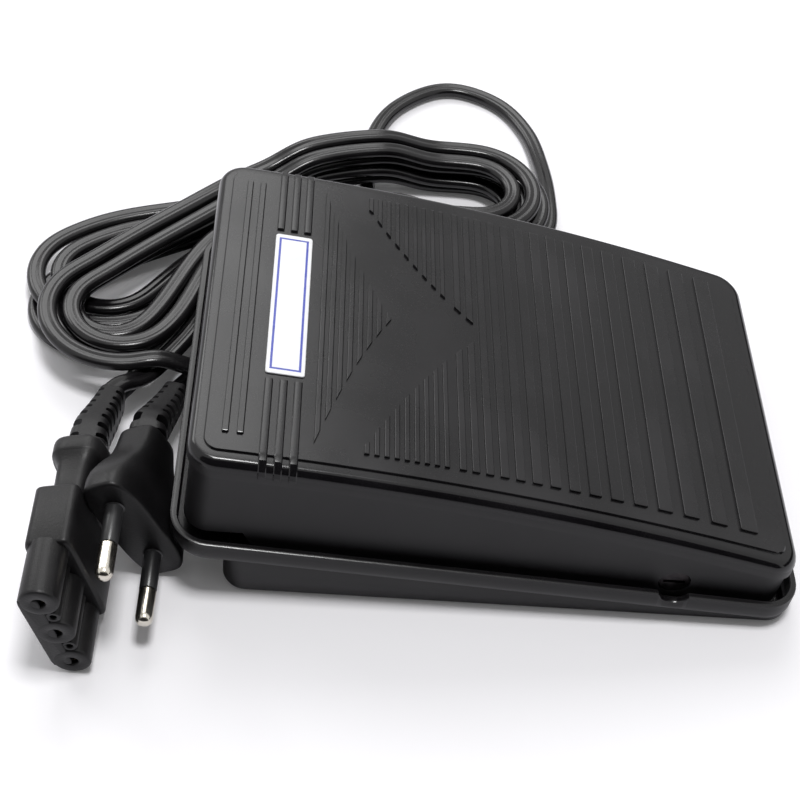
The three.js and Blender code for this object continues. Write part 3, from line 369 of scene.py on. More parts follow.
pedal_exit_route = [
    [-70.5, 10.5, 9.5], [-72.9, 10.5, 9.5], [-76, 10.5, 9.9], [-80, 10.5, 12], [-83.8, 9.6, 13.7],
    [-87.4, 8.7, 12.65],
]
pedal_link_route = [
    [-93.0, -3.2, 13.9], [-92.5, -2, 13.7], [-91, 1.2, 12.6], [-87.6, 4.8, 9.6], [-83.4, 10.6, 8.9],
    [-79.4, 17.4, 8.95],
]
mains_link_route = [
    [-92.7, -4.2, 9.9], [-92.5, -3, 9.6], [-92.3, 1.5, 7.8], [-91.4, 6.5, 4], [-90, 11.5, 1.9],
    [-87.4, 18, 1.85], [-84.36, 23.87, 1.85],
]
mains_far_route = [
    [-78.3, 1.8, 9.0], [-77.8, 3.4, 8.2], [-77.3, 6.5, 6.3], [-76, 11, 3.5], [-73.6, 16, 2.3], [-70, 24, 2.1],
    [-66, 33, 2.1], [-64.7, 40, 2.1], [-64.2, 46.5, 2.1], [-60.9, 51.8, 2.1], [-54, 53, 2.1],
    [-42, 53, 2.1], [-34, 56, 2.1], [-30.5, 64, 2.1], [-30, 80, 2.1], [-30.5, 98, 2.1], [-29.5, 116, 2.2],
    [-22, 135, 2.2], [-5, 147.5, 2.2], [11, 142, 2.2], [20, 128, 2.4], [23.4, 110, 3.4], [23.9, 98, 5.2],
    [24, 86.8, 5.35],
]
pedal_line = lead_line(spline(pedal_exit_route), hank(3.8, 2)[::-1], spline(pedal_link_route)[::-1])
mains_line = lead_line(spline(mains_link_route), hank(4.25, 0), spline(mains_far_route)[::-1])


def lead(name, line):
    """The lead's section carried along its line, with a slight roll that changes slowly along it."""
    along = np.arange(len(line)) * lead_step
    roll = 0.07 * np.sin(along / 31) + 0.05 * np.sin(along / 13.7 + 1)
    edge_fade = ramp(np.minimum(along, along[::-1]) / 20)
    cos, sin = np.cos(roll * edge_fade)[:, None], np.sin(roll * edge_fade)[:, None]
    x, y = lead_section[:, 0], lead_section[:, 1]
    section = np.stack([x * cos - y * sin, x * sin + y * cos], axis=-1)
    return piece(name, [closed(carried(line, section))], sheath, "tray", smooth=60)


pedal_lead = lead("pedal_lead", pedal_line)
mains_lead = lead("mains_lead", mains_line)
for thing, replaced in [
    (pedal_lead, ["pedal_lead_exit", "pedal_lead_hank", "pedal_lead_link"]),
    (mains_lead, ["mains_lead_link", "mains_lead_hank", "mains_lead_far"]),
]:
    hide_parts(*replaced)


# ---- Tread cover ----
# One thin injection moulding in glossy black plastic: a hood that is higher at the toe, with a rolled
# edge and a narrow ledge round a flat field. It hinges on two screws near the heel, whose heads sit in
# round recesses in its sides.
rim_mid_height, rim_slope, rim_height = 9.2, 0.08, 5
cover_toe, cover_heel, cover_half, cover_corner = -70.7, 71.5, 49.1, 7
edge_width, edge_height, ledge_width, field_step = 2.2, 3.2, 1.5, 0.5
lip, lip_height, skirt_wall, plate_wall = 0.8, 2, 1.8, 2.3
toe_lean, toe_edge, toe_height = 1.5, -56.3, 20.66
pivot_x, pivot_z, recess_radius = 43, 12, 3.8
field_toe = cover_toe + ledge_width
field_span = cover_heel - edge_width - field_toe
plate_toe_height, plate_fall, plate_bulge = 46.7, 25.8, 15.2
skirt_half = cover_half - lip
corner_steps, crease = 10, 0.15
recess_toe, recess_heel, recess_level = 37, 49, 7
straight_start, straight_end = cover_toe + cover_corner, cover_heel - cover_corner
long_side = np.unique(np.concatenate([
    np.linspace(straight_start, straight_end, 40), np.arange(recess_toe, recess_heel + 0.1, 0.5),
    [toe_edge - 0.03, toe_edge + 0.03],
]).round(4))


def rim_bottom(x):
    return rim_mid_height - rim_slope * x


def plate_top(x):
    """A straight fall from toe to heel with a parabola's bulge."""
    t = (x - field_toe) / field_span
    return plate_toe_height - plate_fall * t + plate_bulge * t * (1 - t)


def plan_ring(toe, heel, half, corner, height, stations=long_side, steps=corner_steps):
    """A rounded rectangle in plan: a quarter circle, the near side's stations, a quarter circle, and the
    same again mirrored on the far side. The height is a function of x."""
    turn = np.pi / 2 * np.arange(steps + 1) / steps
    share = (stations[1:-1] - stations[0]) / (stations[-1] - stations[0])
    x = np.concatenate([
        toe + corner * (1 - np.cos(turn)), toe + corner + (heel - toe - 2 * corner) * share,
        heel - corner * (1 - np.sin(turn)),
    ])
    y = np.concatenate([corner * (1 - np.sin(turn)), 0 * share, corner * (1 - np.cos(turn))]) - half
    near = np.stack([x, y, height(x)], axis=1)
    return np.vstack([near, (near * [1, -1, 1])[::-1]])


def cover_ring(inset, height, lean=0):
    return plan_ring(cover_toe + inset - lean, cover_heel - inset, cover_half - inset, cover_corner - inset,
                     height)


def walled(outer, inner, rows=12, hole=None):
    """A hood or a tub: rings from the free edge to the closed side, outside and inside, a grid over each
    closed side, and a band between the two free edges. hole is a round opening through both skins on
    the near and the far side: (first column, last column, top level, x, z, radius). The cells round it
    are left out, and straight lines towards its middle join the gap's edge to the circle."""
    skins = np.array([outer, inner])
    levels, size = skins.shape[1:3]
    tables = np.arange(2 * levels * size).reshape(2, levels, size)
    verts = [skins.reshape(-1, 3)]
    start = 2 * levels * size
    faces = cells(tables[:, 0], wrap=True).reshape(-1, 4).tolist()
    sides = []
    if hole:
        first, last, top, hole_x, hole_z, radius = hole
        sides = [(first, last), (size - 1 - last, size - 1 - first)]
    for table, rings in zip(tables, skins):
        quads = cells(table, wrap=True)
        keep = np.ones(quads.shape[:2], bool)
        for left, right_end in sides:
            keep[:top, left:right_end] = False
        faces += quads[keep].tolist()
        half = size // 2
        share = np.linspace(0, 1, rows + 1)[:, None, None]
        cap = rings[-1][:half] * (1 - share) + rings[-1][::-1][:half] * share
        faces += cells(start + np.arange((rows + 1) * half).reshape(rows + 1, half)).reshape(-1, 4).tolist()
        verts.append(cap.reshape(-1, 3))
        start += (rows + 1) * half
    for left, right_end in sides:
        circles = []
        for table, rings in zip(tables, skins):
            rows_up = [table[:top, right_end], table[top, right_end:left:-1], table[top:0:-1, left]]
            loop = np.concatenate([table[0, left:right_end], *rows_up])
            flat = skins.reshape(-1, 3)[loop]
            if not circles:
                angle = np.arctan2(flat[:, 2] - hole_z, flat[:, 0] - hole_x)
            verts.append(np.stack([hole_x + radius * np.cos(angle), flat[:, 1],
                                   hole_z + radius * np.sin(angle)], axis=1))
            circles.append(start + np.arange(len(loop)))
            start += len(loop)
            faces += cells(np.stack([loop, circles[-1]]), wrap=True).reshape(-1, 4).tolist()
        faces += cells(np.stack(circles), wrap=True).reshape(-1, 4).tolist()
    return np.vstack(verts), faces


def skirt_bottom(x):
    """The skirt's lower edge: just above the rim's underside, and higher under the toe for the travel."""
    return np.where(x < toe_edge, toe_height, rim_bottom(x) + 1.3)


def between(low, high, share):
    """A height a share of the way from one to another."""
    return lambda x: low(x) * (1 - share) + high(x) * share


def below(drop):
    """A height that lies a drop below the plate's top."""
    return lambda x: plate_top(x) - drop


skirt_shares = np.concatenate([np.linspace(0, 0.7, 8), [0.85, 1]])
edge_drop = edge_height + field_step
lip_bottom = below(edge_drop + lip_height)
outer = [cover_ring(lip, between(skirt_bottom, lip_bottom, s), toe_lean * (1 - s)) for s in skirt_shares]
outer += [
    cover_ring(0.25, lip_bottom), cover_ring(0, below(edge_drop + lip_height - 0.25)),
    cover_ring(0, below(edge_drop)),
]
for angle in np.radians(np.arange(11.25, 90, 11.25)):
    outer.append(cover_ring(edge_width * (1 - np.cos(angle)), below(edge_drop - edge_height * np.sin(angle))))
field_edge = edge_width + ledge_width
outer += [
    cover_ring(edge_width, below(field_step)), cover_ring(field_edge - crease, below(field_step)),
    cover_ring(field_edge, below(field_step - 0.12)), cover_ring(field_edge, below(crease)),
    cover_ring(field_edge + crease, plate_top),
]
inset = lip + skirt_wall
under_plate = below(plate_wall)
inside_top = below(plate_wall + 2)
inner = [cover_ring(inset, between(skirt_bottom, inside_top, s), toe_lean * (1 - s)) for s in skirt_shares]
inner += [cover_ring(inset + 0.6, below(plate_wall + 0.6)), cover_ring(inset + 2, under_plate)]
inner += [cover_ring(inset + 2 + 0.05 * (i + 1), under_plate) for i in range(len(outer) - len(inner))]
columns = [int(np.argmin(np.abs(long_side - x))) + corner_steps for x in (recess_toe, recess_heel)]
recess = (*columns, recess_level, pivot_x, pivot_z, recess_radius)
cover_look = look("pedal_plastic", (0.0036, 0.0032, 0.004), (0.0062, 0.0056, 0.0068), 0.27, grain=2600,
                  patches=45, worn=(0.03, 0.029, 0.031), rub=0.35, dust=0.1, bump=0.04, gloss=0.42, wall=0.2,
                  polish=0.15)
cover = piece("cover_moulding", [walled(outer, inner, hole=recess)], cover_look, "cover", smooth=30)
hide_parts("tread_cover")

# ---- Tread bars ----
# Raised bars with flat tops and crisp edges, moulded on the field across the foot. Behind the label
# they stop on two bowed, slanting lines, so that an arrowhead stays bare, and towards the heel they
# grow broader. Three more pass each end of the label and run down over the rolled edge.
bar_height, bar_end, bar_root = 0.6, 41.5, 0.5
label_x, label_y, label_length, label_width, label_margin = -50.85, 0.8, 45.8, 8.9, 1.4
toe_bars, toe_bar_width, toe_bar_near = (-62.7, -59.5), 1.4, -40.5
edge_bar_toe, edge_bar_pitch, edge_bar_width = label_x - 3.4, 3.3, 1.8
triangle_toe, triangle_pitch, triangle_width, triangle_bow = -43, 2.23, 1.2, 3.3
arrow_toe, arrow_tip, arrow_pitch, arrow_width, arrow_bow = -32, -6, 2.25, 1.15, 2.9
heel_toe, heel_end, heel_pitch, pitch_growth, heel_share = -10.4, 66, 2.95, 1.075, 0.55


def bars(rows):
    """Bars along Y, each given as (x, width, near end, far end), the ends as functions of x, so that they
    follow a slanting line. A section is a flat-topped hump; it is carried from end to end and drawn in
    over the last third of a width at both ends."""
    x, width = np.array([row[:2] for row in rows], float).T[:, :, None, None]
    probe = 0.3
    near, far = [np.array([row[k](row[0]) for row in rows])[:, None, None] for k in (2, 3)]
    near_lean, far_lean = [
        np.array([row[k](row[0] + probe) - row[k](row[0] - probe) for row in rows])[:, None, None]
        / (2 * probe) for k in (2, 3)
    ]
    side = np.array([-1, -1, -1, -1, 1, 1, 1, 1])
    spread = np.array([0.08, 0.08, -0.1, -0.16, -0.16, -0.1, 0.08, 0.08])
    high = np.array([-bar_root, 0, 0.56, bar_height, bar_height, 0.56, 0, -bar_root])
    end = np.array([0, 0.06, 0.3, 1])
    shrink = np.array([0.8, 0.93, 1, 1])
    stations = np.concatenate([end, 1 - end[::-1]])
    shrink = np.concatenate([shrink, shrink[::-1]])
    run_in = np.minimum(width / 3, (far - near) / 3)
    at_near = np.arange(8)[None, :, None] < 4
    stations = stations[None, :, None]
    y = np.where(at_near, near + run_in * stations, far - run_in * (1 - stations))
    px = x + (width / 2 + spread) * side * shrink[None, :, None]
    y = y + (px - x) * np.where(at_near, near_lean, far_lean)
    rise = high[None, None, :] - np.where(high > 0, (1 - shrink[:, None]) * 0.6, 0)[None]
    pz = plate_top(px) + rise
    grid = np.stack([px, np.broadcast_to(y, px.shape), pz], axis=-1)
    return [closed(g) for g in grid]


def wrapped_bars(rows):
    """Bars that also run down over the rolled edge: (x, width, inner end, side), with side -1 near and
    1 far. The section is carried along the edge's profile and sunk into it."""
    made = []
    field = cover_half - edge_width - ledge_width
    edge = cover_half
    for x, width, inner_end, side in rows:
        path = np.array([
            [abs(inner_end), 0.0], [abs(inner_end) + 0.4, bar_height], [field - 0.4, bar_height],
            [field + 0.6, bar_height - 0.1], [edge - edge_width + 0.2, 0.2], [edge - 0.9, -0.75],
            [edge - 0.15, -1.7], [edge + 0.3, -2.8], [edge + 0.4, -3.6], [edge - 0.1, -4.2],
        ])
        slope = np.gradient(path, axis=0)
        slope /= np.linalg.norm(slope, axis=1)[:, None]
        normal = np.stack([-slope[:, 1], slope[:, 0]], axis=1)
        offset = np.array([[-0.5, -1.1], [-0.5, -0.2], [-0.38, -0.03], [-0.2, 0], [0.2, 0], [0.38, -0.03],
                           [0.5, -0.2], [0.5, -1.1]])
        grid = np.empty((len(path), len(offset), 3))
        grid[..., 0] = x + width * offset[:, 0]
        grid[..., 1] = side * (path[:, :1] + normal[:, :1] * offset[:, 1])
        grid[..., 2] = plate_top(x) + path[:, 1:] + normal[:, 1:] * offset[:, 1]
        grid[..., 2] += (plate_top(x + 1) - plate_top(x - 1)) / 2 * width * offset[:, 0]
        made.append(closed(grid))
    return made


def level(value):
    """The same value at every x."""
    return lambda x: value + 0 * x


def slant(start, end, bow):
    """A slanting line between two places, bowed sideways as a parabola."""
    def line(x):
        share = np.clip((x - start[0]) / (end[0] - start[0]), 0, 1)
        return start[1] + (end[1] - start[1]) * share + 4 * bow * share * (1 - share)
    return line


toe_rows = [(x, toe_bar_width, level(toe_bar_near), level(bar_end)) for x in toe_bars]
triangle_near = slant((-43.7, -40.9), (-26.8, 0.5), triangle_bow)
triangle_far = slant((-43.7, 42), (-26.8, 1.2), -triangle_bow)
triangle_rows = [
    (triangle_toe + triangle_pitch * i, triangle_width, triangle_near, triangle_far) for i in range(8)
]
split_rows = [(arrow_toe + arrow_pitch * i, arrow_width) for i in range(9)]
full_rows, bar_x, pitch = [], heel_toe, heel_pitch
while bar_x < heel_end:
    if bar_x < arrow_tip:
        split_rows.append((bar_x, heel_share * pitch))
    else:
        full_rows.append((bar_x, heel_share * pitch, level(-bar_end), level(bar_end + 1)))
    bar_x, pitch = bar_x + pitch, pitch * pitch_growth
arrow_near = slant((arrow_toe, -38.5), (arrow_tip, -1), arrow_bow)
arrow_far = slant((arrow_toe, 37.5), (arrow_tip, 4), -arrow_bow)
split_rows = [
    half for x, width in split_rows
    for half in [(x, width, level(-bar_end), arrow_near), (x, width, arrow_far, level(bar_end + 1))]
]
edge_bars = [(edge_bar_toe + edge_bar_pitch * i, edge_bar_width) for i in range(3)]
label_near, label_far = label_y - label_length / 2 - label_margin, label_y + label_length / 2 + label_margin
edge_rows = [
    (x, width, end, side) for end, side in [(label_near, -1), (label_far, 1)] for x, width in edge_bars
]
bar_skins = bars(toe_rows + triangle_rows + split_rows + full_rows)
bar_skins += wrapped_bars(edge_rows)
tread_bars = piece("tread_bars", bar_skins, cover_look, "cover", smooth=15)

# ---- Base tray ----
# The lower moulding, of the same plastic: a shallow pan under the heel two thirds, and a sloping rim
# with rounded edges round the cover. Half rounds in the rim's edge clear the hinge screws.
rim_toe, rim_heel, rim_half, rim_corner, rim_wall = -74.5, 74.5, 51.5, 9, 1.8
pan_toe, pan_heel, pan_half, pan_corner, pan_wall = -62.1, 73.2, 50.2, 5.5, 1.4
pan_bottom, pan_floor = 0.6, 2
rim_side = np.unique(np.concatenate([
    np.linspace(rim_toe + rim_corner, rim_heel - rim_corner, 40), np.linspace(38.8, 47.2, 29),
]).round(4))


def rim_ring(inset, height):
    return plan_ring(rim_toe + inset, rim_heel - inset, rim_half - inset, rim_corner - inset, height,
                     rim_side)


def pan_ring(inset, height):
    return plan_ring(pan_toe + inset, pan_heel - inset, pan_half - inset, pan_corner - inset, height,
                     rim_side)


def rim_top(drop):
    """The rim's upper edge, let down in a half round where the hinge screw's recess crosses it."""
    def height(x):
        dip = pivot_z - np.sqrt(np.clip(recess_radius ** 2 - (x - pivot_x) ** 2, 0, None))
        near_screw = np.abs(x - pivot_x) < recess_radius
        return np.minimum(rim_bottom(x) + rim_height, np.where(near_screw, dip, 99)) - drop
    return height


def above_rim_bottom(rise):
    """A height that lies a rise above the rim's underside."""
    return lambda x: rim_bottom(x) + rise


tray_outer = [rim_ring(*row) for row in [
    (rim_wall / 2, rim_top(0)), (0.5, rim_top(0)), (0.15, rim_top(0.15)), (0, rim_top(0.5)),
    (0, above_rim_bottom(0.5)), (0.15, above_rim_bottom(0.15)), (0.5, rim_bottom),
]]
tray_outer += [pan_ring(*row) for row in [
    (0, rim_bottom), (0, above_rim_bottom(-1)), (0, level(pan_bottom + 1)), (0.3, level(pan_bottom + 0.3)),
    (1, level(pan_bottom)),
]]
tray_inner = [rim_ring(*row) for row in [
    (rim_wall / 2, rim_top(0)), (rim_wall - 0.3, rim_top(0)), (rim_wall, rim_top(0.3)),
    (rim_wall, above_rim_bottom(pan_wall)),
]]
tray_inner += [pan_ring(pan_wall + inset, height) for inset, height in [
    (0, above_rim_bottom(pan_wall)), (0, above_rim_bottom(0)), (0, level(pan_floor + 1)),
    (0.3, level(pan_floor + 0.3)), *[(inset, level(pan_floor)) for inset in (1, 1.2, 1.4, 1.6)],
]]
tray = piece("tray_moulding", [walled(tray_outer, tray_inner)], cover_look, "tray", smooth=30)
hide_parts("base_tray")

# ---- Label ----
# A glossy white vinyl label behind the two toe bars, stuck on the plate, with a fine blue frame printed
# just inside its edge. It carries no words.
label_gap, label_thickness, label_corner = 0.06, 0.35, 0.7
frame_inset_x, frame_inset_y, frame_width = 1.15, 1.5, 0.55


def label_skin():
    """Level rounded rectangles of falling inset, laid on the plate's curve."""
    turn = np.radians(np.arange(0, 91, 15))
    half_x, half_y = label_width / 2, label_length / 2
    corner = np.array([half_x, half_y]) - label_corner * (1 - np.stack([np.cos(turn), np.sin(turn)], axis=1))
    ring = np.vstack([corner, (corner * [-1, 1])[::-1], corner * [-1, -1], (corner * [1, -1])[::-1]])
    grids = []
    top = label_thickness
    for inset_by, rise in [(0, 0), (0, top - 0.1), (0.1, top), (1.5, top), (4, top)]:
        x = label_x + ring[:, 0] * (1 - inset_by / half_x)
        y = label_y + ring[:, 1] * (1 - inset_by / half_y)
        grids.append(np.stack([x, y, plate_top(x) + label_gap + rise], axis=1))
    return closed(np.array(grids))


label_look = look("label_vinyl", (0.78, 0.79, 0.83), (0.86, 0.87, 0.9), 0.25, worn=(0.7, 0.68, 0.64),
                  grain=4000, patches=120, rub=0.3, dust=0.15, bump=0.02)
tree = label_look.node_tree
spot = add(tree, "ShaderNodeSeparateXYZ", {0: add(tree, "ShaderNodeTexCoord").outputs["Object"]}).outputs


def frame_line(axis, middle, half, width):
    """1 within a line's width of the two straight lines half away from the middle on an axis, and 1 all
    the way between their outer sides."""
    far = maths(tree, "ABSOLUTE", maths(tree, "SUBTRACT", spot[axis], middle * MM))
    on = maths(tree, "COMPARE", far, half * MM, width / 2 * MM)
    return on, maths(tree, "LESS_THAN", far, (half + width / 2) * MM)


frame_x, in_x = frame_line("X", label_x, label_width / 2 - frame_inset_x, frame_width)
frame_y, in_y = frame_line("Y", label_y, label_length / 2 - frame_inset_y, frame_width)
ink = maths(tree, "MAXIMUM", maths(tree, "MULTIPLY", frame_x, in_y), maths(tree, "MULTIPLY", frame_y, in_x))
shader = tree.nodes["Principled BSDF"]
paper_colour = shader.inputs["Base Color"].links[0].from_socket
tree.links.new(mixed(tree, ink, paper_colour, (0.05, 0.07, 0.42)), shader.inputs["Base Color"])
label = piece("label_sheet", [label_skin()], label_look, "cover", smooth=30)
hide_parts("label")

# ---- Machine connector ----
# A rubbery black PVC moulding over a three-way socket: three round barrels in line, joined by webs, a
# block behind them, a narrow grip and a collar. It lies on its narrow edge, leaning over a little.
connector_place, connector_lean = np.array([-95.4, -74, 15.7]), np.radians(-14)
contact_pitch, bore_radius, contact_depth = 11.3, 1.4, 12
barrel_radius, barrel_length = 4.3, 13


def placed(skin, place, lean):
    """A skin turned about Y by lean and moved to its place."""
    verts, faces = skin
    x, y, z = verts.T
    return np.stack([
        x * np.cos(lean) + z * np.sin(lean), y, z * np.cos(lean) - x * np.sin(lean),
    ], axis=1) + place, faces


def spun(profile, x, z, sides):
    """Rings: a profile of (radius, y) turned round the line along Y through x, z."""
    radius, y = np.array(profile, float).T[:, :, None]
    angle = 2 * np.pi * np.arange(sides) / sides
    return np.stack([x + radius * np.cos(angle), y + 0 * angle, z + radius * np.sin(angle)], axis=-1)


def turned(profile, x=0.0, z=0.0, sides=36):
    """A solid of revolution about a line along Y. Both ends of its profile lie on that line."""
    return closed(spun(profile, x, z, sides))


def superellipse(power, count):
    """|x|^n + |z|^n = 1: the angles' cosines and sines, and how far the curve reaches at each."""
    angle = 2 * np.pi * (np.arange(count) + 0.5) / count
    cos, sin = np.cos(angle), np.sin(angle)
    return cos, sin, (np.abs(cos) ** power + np.abs(sin) ** power) ** (-1 / power)


def rounded_block(sections, power=5.0, count=48):
    """Superellipses carried along Y: each section is (y, width, height, x, z)."""
    cos, sin, reach = superellipse(power, count)
    y, wide, high, x, z = np.array([list(s) + [0] * (5 - len(s)) for s in sections], float).T[:, :, None]
    grid = np.stack([x + wide / 2 * reach * cos, y + 0 * cos, z + high / 2 * reach * sin], axis=-1)
    return closed(grid)


def rounding(edge):
    """A quarter circle of radius edge, as steps of (distance along the axis, distance in from the side)."""
    return [(edge * (1 - np.cos(t)), edge * (1 - np.sin(t))) for t in np.radians([0, 30, 60, 90])]


def eased(y0, y1, width, height, x=0.0, z=0.0, edge=0.6):
    """A block's sections with its two end edges rounded over."""
    steps = rounding(edge)
    first = [(y0 + along, width - 2 * into, height - 2 * into, x, z) for along, into in steps]
    last = [(y1 - along, width - 2 * into, height - 2 * into, x, z) for along, into in steps[::-1]]
    return first + last


barrel = [(0, contact_depth), (bore_radius, contact_depth), (bore_radius, 0.5), (bore_radius + 0.2, 0.1),
          (bore_radius + 0.35, 0), (barrel_radius - 0.7, 0), (barrel_radius - 0.3, 0.12),
          (barrel_radius - 0.08, 0.4), (barrel_radius, 0.9), (barrel_radius, barrel_length + 1),
          (0, barrel_length + 1)]
heights = contact_pitch * np.array([-1, 0, 1])
connector_parts = [turned(barrel, 0, z) for z in heights]
web = eased(0.05, barrel_length + 1, barrel_radius + 0.3, 2 * contact_pitch + 2.5, -barrel_radius / 2 - 0.1,
            0, 0.35)
connector_parts.append(rounded_block(web, 14, 64))
key = [(0, 5), (0.75, 5), (0.75, 0.5), (0.95, 0.3), (1.55, 0.3), (1.7, 0.6), (1.7, barrel_length),
       (0, barrel_length)]
connector_parts += [turned(key, 1.3, z, 20) for z in heights[:2] + contact_pitch / 2]
# the block behind the barrels, the narrow grip and the collar
connector_parts += [
    rounded_block(eased(barrel_length, 29, 10.6, 28.8, 0.4, 0.4, 0.9), 9, 72),
    rounded_block([(27.5, 10.2, 26, 0.3, 0.3), (29.5, 9.2, 19.5, 0, 0), (31.5, 8.5, 17.2), (36, 8.4, 16.8),
                   (40.5, 8.6, 16.9), (42.4, 10.4, 17.8), (43.4, 12, 18.6)], 4.5),
    rounded_block(eased(42.6, 48, 12.6, 19, edge=1.4), 3.6),
]
moulded_look = look("moulded_pvc", (0.0032, 0.003, 0.0034), (0.0065, 0.006, 0.0068), 0.4, gloss=0.3,
                    grain=1800, patches=70, rub=0.35, dust=0.16, bump=0.25)
connector = piece("connector_body", [placed(p, connector_place, connector_lean) for p in connector_parts],
                  moulded_look, "tray", smooth=38)
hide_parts("machine_connector")

# ---- Ribbed strain reliefs ----
# Soft tapering sleeves moulded on the leads behind the connector and the plug. Slots cut in from both
# flanks leave a spine down the middle, so that they bend but don't kink.
def slotted(points, start, end, slots, power=4.0):
    """A superellipse whose size goes from start to end along a bent line. In a slot its outer parts are
    let down to the spine, with steep walls: a slot takes two fifths of a rib's pitch, and 58% of the
    half width."""
    line = evenly(spline(points, 0.3), 0.12)
    share = np.linspace(0, 1, len(line))
    margin, half_slot, wall, slot_depth, spine = 0.35, 0.2, 0.06, 0.58, 0.12
    place = share * (slots + 0.6)
    inside = (place > margin) & (place < slots + margin)
    off = np.abs((place - margin) % 1 - margin)
    depth = np.where(inside, ramp((half_slot - off) / wall + 0.5), 0)
    cos, sin, reach = superellipse(power, 48)
    half_width, half_height = [(a + (b - a) * share)[:, None] / 2 for a, b in zip(start, end)]
    wide, high = half_width * reach * cos, half_height * reach * sin
    limit = half_width * (1 - slot_depth * depth[:, None])
    wide = np.where(np.abs(high) < spine * start[1], wide, np.clip(wide, -limit, limit))
    ease = np.sqrt(np.clip(np.minimum(share, 1 - share) / 0.02, 0, 1))[:, None]
    section = np.stack([wide * (0.8 + 0.2 * ease), high * (0.8 + 0.2 * ease)], axis=-1)
    return closed(carried(line, section))


connector_relief_line = [
    connector_place + [0, 48.3, 0], connector_place + [0, 54, 0], [-94, -12, 13.6], [-92.6, -3.6, 11.6],
]
connector_sleeve = slotted(connector_relief_line, (9.4, 13), (6.4, 8.8), 7)
connector_relief = piece("connector_strain_relief", [connector_sleeve], moulded_look, "tray", smooth=40)
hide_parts("connector_relief")

plug_place, plug_lean, plug_length = np.array([-82, -47.2, 17.2]), np.radians(-25.5), 26
plug_relief_line = [
    plug_place + [0, plug_length + 0.3, 0], plug_place + [0, plug_length + 3, 0], [-80.9, -12, 14.2],
    [-79, -3, 10.2], [-77.9, 3, 8.2],
]
plug_relief = piece("plug_strain_relief", [slotted(plug_relief_line, (9, 10.6), (5.8, 6.6), 6)], moulded_look,
                    "tray", smooth=40)
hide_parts("plug_relief")

# ---- Mains plug ----
# A flat two-pin plug in the same black PVC: broad at the pin face and drawn in to a round neck. The pins
# are nickel-plated brass, and the half next to the body is sleeved in black nylon.
plug_width, plug_height, pin_pitch, pin_radius = 12.2, 34.6, 18.6, 2
narrowing = [
    (0, 1.4, plug_height - 1.6), (0.15, 0.7, plug_height - 0.8), (0.5, 0.2, plug_height - 0.2),
    (1.1, 0, plug_height), (4, 0, plug_height - 0.4), (6.5, 0, plug_height - 2.2),
    (9, 0.3, plug_height - 5.2), (12, 0.6, plug_height - 9.2), (15, 0.9, 20.6), (18, 1.2, 17.2),
    (21, 1.5, 15), (24, 1.8, 13.6), (25.4, 2, 12.9), (25.85, 2.4, 12.3), (26, 3.2, 11.4),
]
plug_sections = [(y, plug_width - less, height) for y, less, height in narrowing]
plug_skin = placed(rounded_block(plug_sections, 3.6, 72), plug_place, plug_lean)
plug = piece("plug_body", [plug_skin], moulded_look, "tray", smooth=40)
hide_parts("mains_plug")
nickel_look = look("pin_nickel", (0.72, 0.68, 0.6), (0.82, 0.79, 0.72), 0.2, worn=(0.6, 0.45, 0.25),
                   metal=1.0, grain=2000, patches=300, rub=0.25, dust=0.02, bump=0.08)
sleeve_look = look("sleeve_nylon", (0.012, 0.012, 0.013), (0.02, 0.02, 0.021), 0.32, rub=0.3, dust=0.05,
                   bump=0.04)
pin_tip = [(0, -19), (0.55, -18.97), (1.1, -18.8), (1.5, -18.5), (1.8, -18.05), (1.96, -17.5)]
pin = pin_tip + [(pin_radius, -16.9), (pin_radius, -10.35), (pin_radius - 0.15, -10.15),
                 (pin_radius - 0.45, -10.1), (pin_radius - 0.45, 6), (0, 6)]
sleeve = [(1.63, -9.95), (1.9, -9.95), (pin_radius, -9.8), (pin_radius, -0.4), (pin_radius + 0.35, -0.2),
          (1.63, -0.2)]


def ring_turned(profile, x=0.0, z=0.0, sides=32):
    """A closed profile of (radius, y) spun round a line along Y, as a ring with a hole through it."""
    grid = spun(profile, x, z, sides)
    index = np.arange(grid.shape[0] * sides).reshape(grid.shape[0], sides)
    return grid.reshape(-1, 3), cells(np.vstack([index, index[:1]]), wrap=True).reshape(-1, 4).tolist()


for number, z in enumerate([-pin_pitch / 2, pin_pitch / 2], 1):
    pin_skin, sleeve_skin = [
        placed(skin, plug_place, plug_lean) for skin in (turned(pin, 0, z), ring_turned(sleeve, 0, z))
    ]
    piece(f"pin_{number}", [pin_skin], nickel_look, "tray")
    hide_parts(f"plug_pin_{number}")
    piece(f"pin_sleeve_nylon_{number}", [sleeve_skin], sleeve_look, "tray")
    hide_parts(f"pin_sleeve_{number}")

# ---- Fittings moulded in the tray ----
# Posts for the board and the clamp, cups over the feet, seats for the springs, the brackets that the
# hinge screws run in, the two stops and three ribs, all of one piece with the pan.
def upright(x, y, radius, z0, z1, edge=0.4, sides=28):
    """A post: rings about a vertical line, with its two end edges rounded over."""
    steps = rounding(edge)
    rings = [(radius - into, z0 + along) for along, into in steps]
    rings += [(radius - into, z1 - along) for along, into in steps[::-1]]
    ring_radius, z = np.array(rings, float).T[:, :, None]
    angle = 2 * np.pi * np.arange(sides) / sides
    grid = [x + ring_radius * np.cos(angle), y + ring_radius * np.sin(angle), z + 0 * angle]
    return closed(np.stack(grid, axis=-1))


def block(x0, x1, y0, y1, z0, z1, edge=0.3):
    """A box with softened edges, as a squared superellipse carried along Y."""
    return rounded_block(eased(y0, y1, x1 - x0, z1 - z0, (x0 + x1) / 2, (z0 + z1) / 2, edge), 14, 40)


